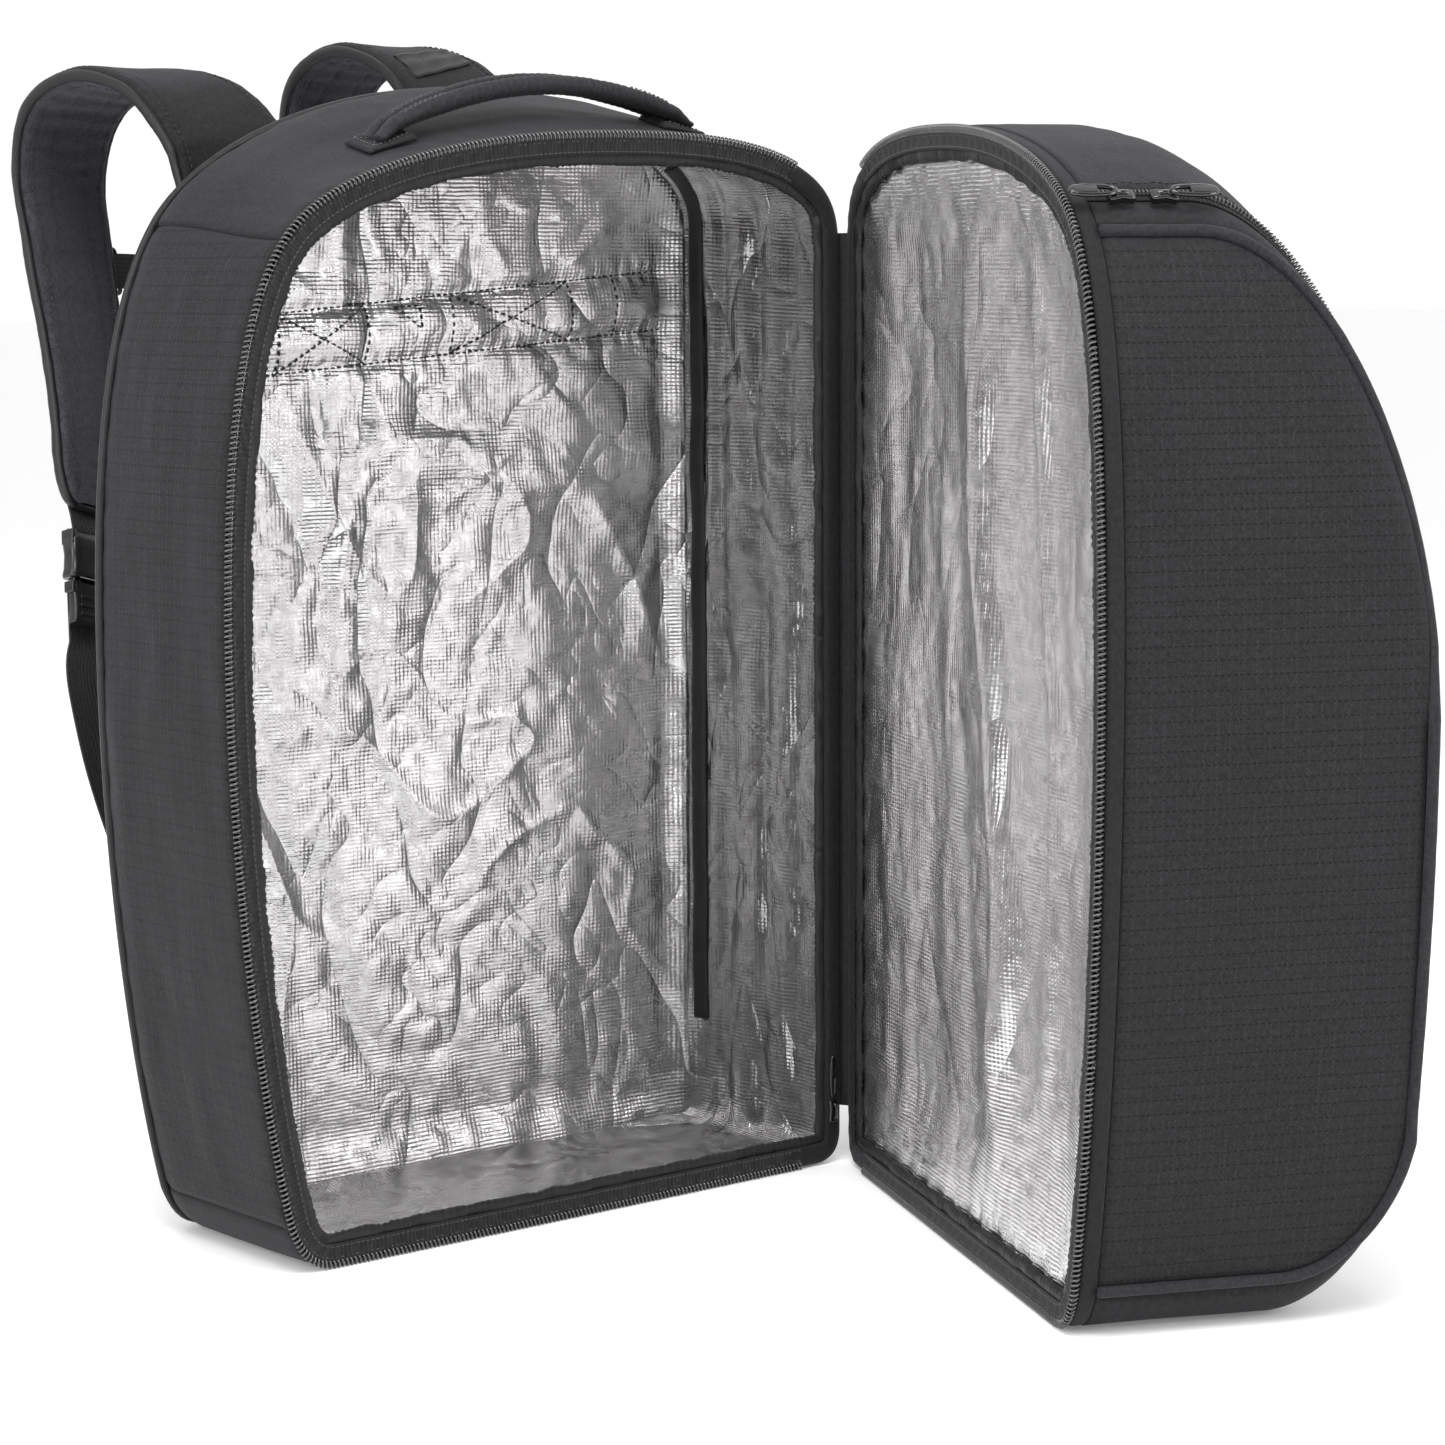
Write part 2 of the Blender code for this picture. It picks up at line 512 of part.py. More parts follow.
def strap(tag, points, anchor_x, twist, loop_dir):
    """One shoulder strap: pad, buckle, lower webbing, sternum webbing."""
    path, tang = spline(points, 34)
    n = len(path)
    sides = []
    for i in range(n):
        f = smooth(i / (n - 1) * 1.8)
        a = math.radians(twist) * f
        sides.append(np.array([math.cos(a), math.sin(a), 0.0]))

    def section(i):
        f = i / (n - 1)
        wide = 0.072 - 0.010 * smooth((f - 0.25) / 0.4) - 0.016 * smooth((f - 0.62) / 0.3)
        end = (1 - f) * (n - 1) / 3.0
        if end < 1.0:
            wide *= 0.50 + 0.50 * math.sqrt(max(0.0, 1 - (1 - end) ** 2))
        return box_section(wide, 0.0115 if 1 < i < n - 2 else 0.0095, 0.5)
    sweep(tag + "_strap_pad", path, sides, tang, section, "foam")

    end, t, s = path[-1], tang[-1], sides[-1]
    s = s - t * np.dot(s, t)
    s /= np.linalg.norm(s)
    nrm = np.cross(t, s)
    axes = (s, nrm, t)

    def local(a, b, c):
        return end + s * a + nrm * b + t * c
    # Short webbing tongue from the pad to the buckle.
    box(tag + "_upper_webbing", local(0, 0, 0.0088), (WEB_W / 2, WEB_T / 2, 0.0080), "black", axes)
    # Socket half: a flat sleeve, open at the lower end.
    tube_out = [local(a, b, 0) for a, b in box_section(0.0340, 0.0110, 0.45)]
    tube_in = [local(a, b, 0) for a, b in box_section(0.0280, 0.0064, 0.45)]
    step = [t * c for c in (0.0175, 0.0275, 0.0400)]
    out = [[p + c for c in step] for p in tube_out]
    inn = [[p + c for c in step] for p in tube_in]
    slab(tag + "_buckle_socket", out, inn, "plastic", closed=True)
    # Prong half: two prongs in the socket, a block and a webbing bar below.
    outline2 = [(-0.0150, 0.0410), (-0.0150, 0.0640), (0.0150, 0.0640), (0.0150, 0.0410), (0.0130, 0.0405), (0.0130, 0.0240), (0.0095, 0.0215), (0.0065, 0.0260), (0.0080, 0.0405),
                (-0.0080, 0.0405), (-0.0065, 0.0260), (-0.0095, 0.0215), (-0.0130, 0.0240), (-0.0130, 0.0405)]
    pts = [local(a, b, c) for b in (-0.0022, 0.0022) for a, c in outline2]
    m = len(outline2)
    faces = [tuple(range(m)), tuple(range(2 * m - 1, m - 1, -1))] + [(i, (i + 1) % m, m + (i + 1) % m, m + i) for i in range(m)]
    obj = finish(tag + "_buckle_prongs", pts, faces, "plastic", smooth=False)
    # Lower webbing: runs behind the prong half, parallel to the buckle, then down to its anchor.
    start = local(0, -0.0040, 0.0440)
    straight_end = local(0, -0.0040, 0.1020)
    foot = np.array([anchor_x, 0.0745, 0.060])
    mid = (straight_end + foot) / 2 + np.array([0, 0.010, 0.0])
    wpath, wtang = spline([start, local(0, -0.0040, 0.0720), straight_end, mid, foot + np.array([0, 0.0015, 0.030]), foot], 26)
    wsides = []
    for i in range(len(wpath)):
        f = smooth((i / (len(wpath) - 1) - 0.3) / 0.6)
        wsides.append(s * (1 - f) + np.array([1.0, 0, 0]) * f)
    sweep(tag + "_lower_webbing", wpath, wsides, wtang, lambda i: [(-WEB_W / 2, -WEB_T / 2), (WEB_W / 2, -WEB_T / 2), (WEB_W / 2, WEB_T / 2), (-WEB_W / 2, WEB_T / 2)], "black")
    # Wing patch that holds the webbing's foot, on the back panel.
    box(tag + "_webbing_anchor", (anchor_x, 0.0704, 0.045), (0.022, 0.0016, 0.020), "shell", chamfer=0.001)
    return path, tang, sides


LEFT_PTS = [(-0.100, 0.0765, 0.5200), (-0.106, 0.0860, 0.5500), (-0.119, 0.1080, 0.5740), (-0.133, 0.1400, 0.5800), (-0.1430, 0.1680, 0.5660), (-0.1460, 0.1800, 0.5350), (-0.1435, 0.1780, 0.4950), (-0.1430, 0.1690, 0.4500), (-0.1480, 0.1560, 0.3950), (-0.1545, 0.1450, 0.3600)]
SHIFT = 0.170
RIGHT_PTS = [(x + SHIFT - (0.012 * (1 - f)), y, z + 0.018 * math.sin(math.pi * min(f * 1.3, 1.0))) for (x, y, z), f in zip(LEFT_PTS, np.linspace(0, 1, len(LEFT_PTS)))]
left = strap("left", LEFT_PTS, -0.125, 17.0, 1)
right = strap("right", RIGHT_PTS, 0.060, 17.0, -1)


def sternum(tag, strap_data, index, way, look):
    path, tang, sides = strap_data
    p, t, s = path[index], tang[index], sides[index]
    s = s - t * np.dot(s, t)
    s /= np.linalg.norm(s)
    nrm = np.cross(t, s)
    half = 0.0320
    flat = np.array([way, 0.0, 0.0])
    flat = s * way
    axes = (flat, np.cross(t, flat), t)
    box(tag + "_sternum_webbing", p + flat * (half + 0.0125), (0.0115, WEB_T / 2, 0.0100), "black", axes)
    box(tag + "_sternum_buckle", p + flat * (half + 0.0125 + 0.0115 + 0.0005 + 0.0085), (0.0085, 0.0035, 0.0125), "plastic", axes, 0.0015)


sternum("left", left, 21, 1, "black")
sternum("right", right, 27, -1, "black")

# Blank woven tag sewn across the outer face of the right strap's crest.
_p, _t, _s = right[0][7], right[1][7], right[2][7]
_s = _s - _t * np.dot(_s, _t)
_s /= np.linalg.norm(_s)
_n = np.cross(_t, _s)
_n = _n if _n[2] > 0 else -_n
box("right_strap_tag", _p + _n * 0.0070, (0.0085, 0.0240, 0.0006), "black", (_t, _s, _n))


# ------------------------------------------------------------ origins on the joint axes
def origin_at(names, point):
    for name in names:
        obj = bpy.data.objects[name]
        obj.data.transform(Matrix.Translation(-Vector(point)))
        obj.location = Vector(point)


DOOR_NODES = ["door_zip_coil", "door_zip_tape", "door_binding", "door_rim", "door_inner_panel", "door_side_panel", "door_hinge_panel", "door_bottom_panel", "door_side_piping", "helmet_gusset", "helmet_zip_chain"]
origin_at(DOOR_NODES, HINGE)
origin_at(["helmet_flap"], door_world(0.18, DOOR_DEPTH + 0.0005, FLAP_HINGE_Z + 0.0055))
for tag, d, way in (("a", SLIDER_A_D, -1), ("b", SLIDER_B_D, 1)):
    origin_at(["helmet_slider_" + tag], on_zip(d, 0.0036))
    origin_at(["helmet_pull_" + tag], on_zip(d + way * 0.0036, 0.0074))
origin_at(["main_pull"], main_pt(T_BR, 0.0016, 0.0066) + np.array([0, 0, 0.0200]))
origin_at(["handle_tube_front", "handle_tube_back"], HANDLE_AXIS_A)
for tag, points, foot_x in (("left", LEFT_PTS, -0.125), ("right", RIGHT_PTS, 0.060)):
    names = ["_strap_pad", "_upper_webbing", "_buckle_socket", "_buckle_prongs", "_lower_webbing", "_sternum_webbing", "_sternum_buckle"] + (["_strap_tag"] if tag == "right" else [])
    origin_at([tag + n for n in names], points[0])
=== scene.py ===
import json
import math

import bmesh
import bpy
import numpy as np
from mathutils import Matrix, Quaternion, Vector

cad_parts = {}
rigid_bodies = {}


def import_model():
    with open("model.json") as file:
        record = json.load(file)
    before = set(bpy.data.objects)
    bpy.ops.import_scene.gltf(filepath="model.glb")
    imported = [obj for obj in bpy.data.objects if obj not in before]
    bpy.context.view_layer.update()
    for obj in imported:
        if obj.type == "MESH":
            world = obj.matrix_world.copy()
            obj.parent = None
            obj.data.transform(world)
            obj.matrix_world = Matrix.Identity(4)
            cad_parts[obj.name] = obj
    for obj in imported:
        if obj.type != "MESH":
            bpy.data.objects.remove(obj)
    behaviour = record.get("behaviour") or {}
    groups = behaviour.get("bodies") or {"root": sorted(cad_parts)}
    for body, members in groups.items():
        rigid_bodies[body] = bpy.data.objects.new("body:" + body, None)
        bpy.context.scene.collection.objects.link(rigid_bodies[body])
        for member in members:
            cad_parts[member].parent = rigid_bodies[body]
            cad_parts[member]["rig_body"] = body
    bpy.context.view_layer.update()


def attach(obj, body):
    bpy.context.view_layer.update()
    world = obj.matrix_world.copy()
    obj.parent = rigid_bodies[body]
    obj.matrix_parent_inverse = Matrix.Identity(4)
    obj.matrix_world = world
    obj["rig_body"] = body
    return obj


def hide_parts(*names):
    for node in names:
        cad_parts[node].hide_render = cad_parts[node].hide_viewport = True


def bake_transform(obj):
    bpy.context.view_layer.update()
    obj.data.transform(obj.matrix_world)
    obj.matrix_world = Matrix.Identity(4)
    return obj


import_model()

scene = bpy.context.scene

# ---------------------------------------------------------------- sizes (as the CAD)
HINGE_X, HINGE_Y = 0.176, -0.074
MAIN_DEPTH, DOOR_DEPTH = 0.142, 0.160
BACK_R, DOME = 0.040, 0.026
FT_A, FT_Z, FB_A, FB_Z = 0.102, 0.280, 0.060, 0.100
FLAP_Z = 0.086
OPEN = math.radians(64.4)
DE = np.array([-math.cos(OPEN), -math.sin(OPEN), 0.0])
DN = np.array([math.sin(OPEN), -math.cos(OPEN), 0.0])
HINGE = np.array([HINGE_X, HINGE_Y, 0.0])
ZUP = np.array([0.0, 0.0, 1.0])

# ---------------------------------------------------------------- camera
cam_data = bpy.data.cameras.new("camera")
cam = bpy.data.objects.new("camera", cam_data)
scene.collection.objects.link(cam)
scene.camera = cam
CAM_AT = np.array([-1.16508, -1.55245, 0.48296])
AZ, EL, ROLL = math.radians(40.2158), math.radians(6.9372), math.radians(-0.3326)
fwd = np.array([math.sin(AZ) * math.cos(EL), math.cos(AZ) * math.cos(EL), -math.sin(EL)])
cam.location = CAM_AT
cam.rotation_euler = (Vector(fwd).to_track_quat("-Z", "Y") @ Quaternion((0, 0, 1), ROLL)).to_euler()
cam_data.sensor_width = 36.0
cam_data.lens = 3881.84 / 1445.0 * 36.0 * 0.966
cam_data.shift_x = 0.0060
cam_data.clip_start = 0.05
cam_data.clip_end = 50
cam_data.dof.use_dof = False


# ---------------------------------------------------------------- noise
def _hash(ix, iy, seed):
    m = np.uint64(0xFFFFFFFF)
    n = (ix.astype(np.int64).astype(np.uint64) * np.uint64(374761393) + iy.astype(np.int64).astype(np.uint64) * np.uint64(668265263) + np.uint64(seed * 2246822519 % (2 ** 32))) & m
    n = ((n ^ (n >> np.uint64(13))) * np.uint64(1274126177)) & m
    n = (n ^ (n >> np.uint64(16))) & m
    return n.astype(np.float64) / 2147483647.5 - 1.0


def vnoise(x, y, seed=0):
    x, y = np.broadcast_arrays(np.asarray(x, float), np.asarray(y, float))
    ix, iy = np.floor(x), np.floor(y)
    fx, fy = x - ix, y - iy
    ux, uy = fx * fx * fx * (fx * (fx * 6 - 15) + 10), fy * fy * fy * (fy * (fy * 6 - 15) + 10)
    a, b = _hash(ix, iy, seed), _hash(ix + 1, iy, seed)
    c, d = _hash(ix, iy + 1, seed), _hash(ix + 1, iy + 1, seed)
    return (a * (1 - ux) + b * ux) * (1 - uy) + (c * (1 - ux) + d * ux) * uy


def fbm(x, y, seed=0, octaves=3, gain=0.5):
    total, amp, norm = 0.0, 1.0, 0.0
    for k in range(octaves):
        total = total + amp * vnoise(x * 2 ** k, y * 2 ** k, seed + 17 * k)
        norm += amp
        amp *= gain
    return total / norm


def sstep(x, a=0.0, b=1.0):
    t = np.clip((np.asarray(x, float) - a) / (b - a), 0, 1)
    return t * t * (3 - 2 * t)


# ---------------------------------------------------------------- outline
def bez(a, b, c, d, n=260):
    t = np.linspace(0, 1, n, endpoint=False)[:, None]
    a, b, c, d = (np.array(p, float) for p in (a, b, c, d))
    return (1 - t) ** 3 * a + 3 * (1 - t) ** 2 * t * b + 3 * (1 - t) * t * t * c + t ** 3 * d


def straight(a, b):
    a, b = np.array(a, float), np.array(b, float)
    return bez(a, a + (b - a) / 3, a + (b - a) * 2 / 3, b)


OUTLINE = np.vstack([
    straight((0.018, 0.0), (0.332, 0.0)),
    bez((0.332, 0.0), (0.346, 0.0), (0.353, 0.008), (0.3585, 0.022)),
    bez((0.3585, 0.022), (0.372, 0.075), (0.388, 0.18), (0.388, 0.300)),
    bez((0.388, 0.300), (0.388, 0.40), (0.377, 0.465), (0.352, 0.497)),
    bez((0.352, 0.497), (0.328, 0.530), (0.25, 0.5475), (0.170, 0.5500)),
    bez((0.170, 0.5500), (0.12, 0.5515), (0.070, 0.5510), (0.036, 0.5385)),
    bez((0.036, 0.5385), (0.012, 0.5290), (0.0, 0.518), (0.0, 0.495)),
    straight((0.0, 0.495), (0.0, 0.018)),
    bez((0.0, 0.018), (0.0, 0.006), (0.006, 0.0), (0.018, 0.0)),
])
_seg = np.linalg.norm(np.roll(OUTLINE, -1, 0) - OUTLINE, axis=1)
LENGTH = _seg.sum()
_cum = np.concatenate([[0], np.cumsum(_seg)]) / LENGTH
_loop = np.vstack([OUTLINE, OUTLINE[:1]])


def outline(T, inset=0.0):
    T = np.asarray(T, float) % 1.0
    w, z = np.interp(T, _cum, _loop[:, 0]), np.interp(T, _cum, _loop[:, 1])
    h = 0.004 / LENGTH
    w0, z0 = np.interp((T - h) % 1.0, _cum, _loop[:, 0]), np.interp((T - h) % 1.0, _cum, _loop[:, 1])
    w1, z1 = np.interp((T + h) % 1.0, _cum, _loop[:, 0]), np.interp((T + h) % 1.0, _cum, _loop[:, 1])
    length = np.hypot(w1 - w0, z1 - z0)
    nw, nz = (z1 - z0) / length, -(w1 - w0) / length
    return w - nw * inset, z - nz * inset, nw, nz


def t_at(w, z):
    return float(_cum[int(np.argmin(np.hypot(OUTLINE[:, 0] - w, OUTLINE[:, 1] - z)))])


T_BL, T_TL, T_TR, T_BR = t_at(0.3585, 0.022), t_at(0.352, 0.497), t_at(0.010, 0.5265), t_at(0.0, 0.018)
Z0, Z1 = t_at(0.030, 0.0), t_at(0.030, 0.536)


def main_P(T, Y, inset=0.0):
    T, Y, inset = np.broadcast_arrays(np.asarray(T, float), np.asarray(Y, float), np.asarray(inset, float))
    over = np.clip(Y - (MAIN_DEPTH - BACK_R), 0, BACK_R)
    back = BACK_R - np.sqrt(BACK_R ** 2 - over ** 2)
    w, z, nw, nz = outline(T, back + inset)
    rise = DOME * sstep((Y - 0.004) / 0.105) * sstep((z - 0.38) / 0.16) * (0.25 + 0.75 * np.sin(np.pi * np.clip(w / 0.372, 0, 1)))
    return np.stack([HINGE_X - w, HINGE_Y + Y, z + rise], -1)


def free_w(z):
    return 0.388 - 0.036 * ((z - 0.30) / 0.30) ** 2


def e_top(d, inset=0.0):
    return np.sqrt(np.clip(1 - np.clip((d - (DOOR_DEPTH - FT_A)) / (FT_A - inset), 0, 1) ** 2, 0, 1))


def e_bot(d, inset=0.0):
    return np.sqrt(np.clip(1 - np.clip((d - (DOOR_DEPTH - FB_A)) / (FB_A - inset), 0, 1) ** 2, 0, 1))


def door_wz(T, et, eb, inset=0.0):
    w, z, nw, nz = outline(T, inset)
    z2 = np.where(z > FT_Z, FT_Z + (z - FT_Z) * et, np.where(z < FB_Z, FB_Z - (FB_Z - z) * eb, z))
    fade = np.where(z > FT_Z, np.minimum(np.clip(free_w(z) - w, 0, 1), 0.0205 * w / 0.352) * (1 - et), 0.0)
    return w * free_w(z2) / free_w(z) + fade, z2


def dworld(w, d, z):
    w, d, z = np.broadcast_arrays(np.asarray(w, float), np.asarray(d, float), np.asarray(z, float))
    return HINGE + DE * w[..., None] + DN * d[..., None] + ZUP * z[..., None]


def door_P(T, d, inset=0.0):
    T, d, inset = np.broadcast_arrays(np.asarray(T, float), np.asarray(d, float), np.asarray(inset, float))
    w, z = door_wz(T, e_top(d), e_bot(d), inset)
    return dworld(w, d, z)


# ---------------------------------------------------------------- materials
class Mat:
    def __init__(self, name):
        self.m = bpy.data.materials.new(name)
        self.m.use_nodes = True
        self.nt = self.m.node_tree
        self.b = self.nt.nodes["Principled BSDF"]

    def node(self, kind, **props):
        n = self.nt.nodes.new(kind)
        for k, v in props.items():
            setattr(n, k, v)
        return n

    def put(self, socket, value):
        if isinstance(value, bpy.types.NodeSocket):
            self.nt.links.new(value, socket)
        else:
            socket.default_value = value

    def math(self, op, a, b=None, c=None, clamp=False):
        n = self.node("ShaderNodeMath", operation=op, use_clamp=clamp)
        self.put(n.inputs[0], a)
        if b is not None:
            self.put(n.inputs[1], b)
        if c is not None:
            self.put(n.inputs[2], c)
        return n.outputs[0]

    def uv(self):
        n = self.node("ShaderNodeUVMap", uv_map="metres")
        s = self.node("ShaderNodeSeparateXYZ")
        self.nt.links.new(n.outputs[0], s.inputs[0])
        return n.outputs[0], s.outputs[0], s.outputs[1]

    def coords(self):
        n = self.node("ShaderNodeTexCoord")
        return n.outputs["Object"]

    def noise(self, vec, scale, detail=3.0, rough=0.55, kind="ShaderNodeTexNoise", distort=0.0):
        n = self.node(kind)
        self.put(n.inputs["Vector"], vec)
        n.inputs["Scale"].default_value = scale
        n.inputs["Detail"].default_value = detail
        n.inputs["Roughness"].default_value = rough
        n.inputs["Distortion"].default_value = distort
        return n.outputs[0]

    def vor(self, vec, scale, feature="F1"):
        n = self.node("ShaderNodeTexVoronoi", feature=feature)
        self.put(n.inputs["Vector"], vec)
        n.inputs["Scale"].default_value = scale
        return n.outputs[0]

    def remap(self, x, a, b, c, d):
        n = self.node("ShaderNodeMapRange")
        self.put(n.inputs[0], x)
        for i, v in enumerate((a, b, c, d)):
            self.put(n.inputs[i + 1], v)
        return n.outputs[0]

    def mix(self, fac, a, b):
        n = self.node("ShaderNodeMix", data_type="RGBA")
        self.put(n.inputs[0], fac)
        self.put(n.inputs[6], (*a, 1) if isinstance(a, tuple) else a)
        self.put(n.inputs[7], (*b, 1) if isinstance(b, tuple) else b)
        return n.outputs[2]

    def stretch(self, vec, sx, sy, sz=1.0):
        n = self.node("ShaderNodeMapping")
        self.put(n.inputs[0], vec)
        n.inputs["Scale"].default_value = (sx, sy, sz)
        return n.outputs[0]

    def bump(self, height, strength, distance, normal=None):
        n = self.node("ShaderNodeBump")
        n.inputs["Strength"].default_value = strength
        n.inputs["Distance"].default_value = distance
        self.put(n.inputs["Height"], height)
        if normal is not None:
            self.put(n.inputs["Normal"], normal)
        return n.outputs[0]

    def set(self, color=None, rough=None, metal=None, normal=None, sheen=None, sheen_rough=None, spec=None, coat=None, tint=None):
        i = self.b.inputs
        if color is not None:
            self.put(i["Base Color"], (*color, 1) if isinstance(color, tuple) else color)
        if rough is not None:
            self.put(i["Roughness"], rough)
        if metal is not None:
            self.put(i["Metallic"], metal)
        if normal is not None:
            self.put(i["Normal"], normal)
        if sheen is not None:
            i["Sheen Weight"].default_value = sheen
        if sheen_rough is not None:
            i["Sheen Roughness"].default_value = sheen_rough
        if tint is not None:
            i["Sheen Tint"].default_value = (*tint, 1)
        if spec is not None:
            i["Specular IOR Level"].default_value = spec
        if coat is not None:
            i["Coat Weight"].default_value = coat
        return self.m


def ripstop(name, grid=True, tone=1.0, diag=1.0):
    m = Mat(name)
    vec, u, v = m.uv()
    two = 2 * math.pi
    # warp and weft with a steep twill
    tw = m.math("SINE", m.math("MULTIPLY", m.math("ADD", u, m.math("MULTIPLY", v, diag)), two / 0.00135))
    th = m.math("SINE", m.math("MULTIPLY", v, two / 0.00085))
    weave = m.math("ADD", m.math("MULTIPLY", tw, 0.6), m.math("MULTIPLY", th, 0.4))
    speck = m.noise(vec, 900, 2, 0.7)
    large = m.noise(vec, 14, 3, 0.5)
    streak = m.noise(m.stretch(vec, 60, 900, 1), 1.0, 2, 0.5)
    shade = m.math("ADD", m.math("MULTIPLY", weave, 0.16), m.math("ADD", m.math("MULTIPLY", m.math("SUBTRACT", speck, 0.5), 0.9), m.math("ADD", m.math("MULTIPLY", m.math("SUBTRACT", large, 0.5), 0.35), m.math("MULTIPLY", m.math("SUBTRACT", streak, 0.5), 0.35))))
    grain = m.noise(m.stretch(vec, 620, 330, 1), 1.0, 2, 0.6)
    shade = m.math("ADD", shade, m.math("MULTIPLY", m.math("SUBTRACT", grain, 0.5), 1.5))
    base = m.mix(m.remap(shade, -0.62, 0.62, 0, 1), tuple(c * tone for c in (0.0012, 0.0012, 0.0014)), tuple(c * tone for c in (0.0330, 0.0322, 0.0355)))
    height = m.math("MULTIPLY", weave, 0.5)
    if grid:
        def lines(x, pitch, width):
            f = m.math("FRACT", m.math("DIVIDE", x, pitch))
            d = m.math("ABSOLUTE", m.math("SUBTRACT", f, 0.5))
            return m.remap(d, 0.5 - width, 0.5 - width * 0.3, 0, 1)
        across = lines(v, 0.0066, 0.085)
        along = lines(u, 0.0062, 0.075)
        dots = m.remap(m.math("SINE", m.math("MULTIPLY", v, two / 0.0026)), -0.3, 0.5, 0, 1)
        patchy = m.remap(m.noise(vec, 55, 2, 0.5), 0.38, 0.62, 0.35, 1.0)
        base = m.mix(m.math("MULTIPLY", across, 0.92), base, (0.0008 * tone, 0.0008 * tone, 0.0009 * tone))
        dash = m.remap(m.math("SINE", m.math("MULTIPLY", u, two / 0.0031)), 0.1, 0.8, 0, 1)
        base = m.mix(m.math("MULTIPLY", m.math("MULTIPLY", across, dash), 0.22), base, (0.085 * tone, 0.083 * tone, 0.090 * tone))
        base = m.mix(m.math("MULTIPLY", m.math("MULTIPLY", m.math("MULTIPLY", along, dots), patchy), 0.30), base, (0.080 * tone, 0.078 * tone, 0.084 * tone))
        height = m.math("ADD", height, m.math("MULTIPLY", m.math("MAXIMUM", m.math("MULTIPLY", across, -0.7), m.math("MULTIPLY", along, dots)), 0.9))
    height = m.math("ADD", height, m.math("MULTIPLY", speck, 0.8))
    normal = m.bump(height, 0.55, 0.00028)
    soft = m.bump(m.noise(vec, 22, 4, 0.6), 0.28, 0.004, normal)
    return m.set(base, m.remap(speck, 0.3, 0.7, 0.60, 0.78), 0.0, soft, 0.10, 0.45, 0.22, tint=(0.55, 0.54, 0.60))


def foil(name, dark=1.0, crease=1.0):
    m = Mat(name)
    vec, u, v = m.uv()
    two = 2 * math.pi
    warp = m.noise(vec, 30, 3, 0.6)
    rib = m.math("SINE", m.math("MULTIPLY", m.math("ADD", v, m.math("MULTIPLY", warp, 0.0022)), two / 0.0021))
    rib2 = m.math("SINE", m.math("MULTIPLY", m.math("ADD", u, m.math("MULTIPLY", warp, 0.0022)), two / 0.0026))
    gate = m.remap(m.noise(vec, 90, 3, 0.7), 0.38, 0.62, 0.15, 1)
    fine = m.noise(m.stretch(vec, 300, 700, 1), 1.0, 3, 0.65)
    weave = m.math("MULTIPLY", m.math("ADD", rib, m.math("MULTIPLY", rib2, 0.45)), gate)
    n1 = m.bump(m.math("ADD", m.math("MULTIPLY", weave, 0.36), m.math("MULTIPLY", fine, 0.48)), 0.62, 0.0007)

    def crumple(scale, distort, sx=1.0, sy=1.0):
        n = m.noise(m.stretch(vec, sx, sy, 1), scale, 2, 0.45, distort=distort)
        return m.math("POWER", m.math("ABSOLUTE", m.math("MULTIPLY", m.math("SUBTRACT", n, 0.5), 2.0)), 0.75)
    n2 = m.bump(crumple(24, 0.5, 0.9, 1.1), 0.55 * crease, 0.0042, n1)
    n3 = m.bump(crumple(9, 0.9, 1.3, 0.7), 0.60 * crease, 0.0125, n2)
    # The dark argument scales the foil's colour as painted light: lower where the foil lies in shade, higher where
    # light falls on it.
    base = m.mix(m.remap(m.noise(vec, 140, 3, 0.7), 0.3, 0.7, 0.0, 1.0), tuple(c * dark for c in (0.66, 0.65, 0.65)), tuple(c * dark for c in (0.88, 0.87, 0.875)))
    rough = m.remap(m.noise(vec, 20, 3, 0.6), 0.3, 0.7, 0.17, 0.31)
    return m.set(base, rough, 0.97, n3, 0.0, 0.3, 0.5)


def satin(name, tone=1.0):
    m = Mat(name)
    vec, u, v = m.uv()
    w = m.math("SINE", m.math("MULTIPLY", m.math("ADD", u, v), 2 * math.pi / 0.0007))
    n = m.noise(vec, 160, 4, 0.6)
    base = m.mix(m.remap(n, 0.3, 0.7, 0, 1), (0.0035 * tone, 0.0034 * tone, 0.0038 * tone), (0.0125 * tone, 0.0120 * tone, 0.0135 * tone))
    nm = m.bump(m.math("ADD", m.math("MULTIPLY", w, 0.25), n), 0.5, 0.0006)
    return m.set(base, m.remap(n, 0.3, 0.7, 0.34, 0.52), 0.0, nm, 0.08, 0.3, 0.40, tint=(0.6, 0.58, 0.65))


def webbing(name, pitch=0.0019, tone=1.0):
    m = Mat(name)
    vec, u, v = m.uv()
    two = 2 * math.pi
    a = m.math("SINE", m.math("MULTIPLY", m.math("ADD", u, m.math("MULTIPLY", v, 1.0)), two / pitch))
    b = m.math("SINE", m.math("MULTIPLY", m.math("SUBTRACT", u, m.math("MULTIPLY", v, 1.0)), two / pitch))
    ribs = m.math("SINE", m.math("MULTIPLY", v, two / 0.0024))
    h = m.math("ADD", m.math("MAXIMUM", a, b), m.math("MULTIPLY", ribs, 0.8))
    n = m.noise(vec, 500, 3, 0.6)
    base = m.mix(m.remap(m.math("ADD", m.math("MULTIPLY", h, 0.25), n), 0.1, 0.95, 0, 1), (0.0035 * tone, 0.0035 * tone, 0.0037 * tone), (0.026 * tone, 0.025 * tone, 0.028 * tone))
    return m.set(base, 0.68, 0.0, m.bump(h, 0.7, 0.00035), 0.10, 0.4, 0.25)


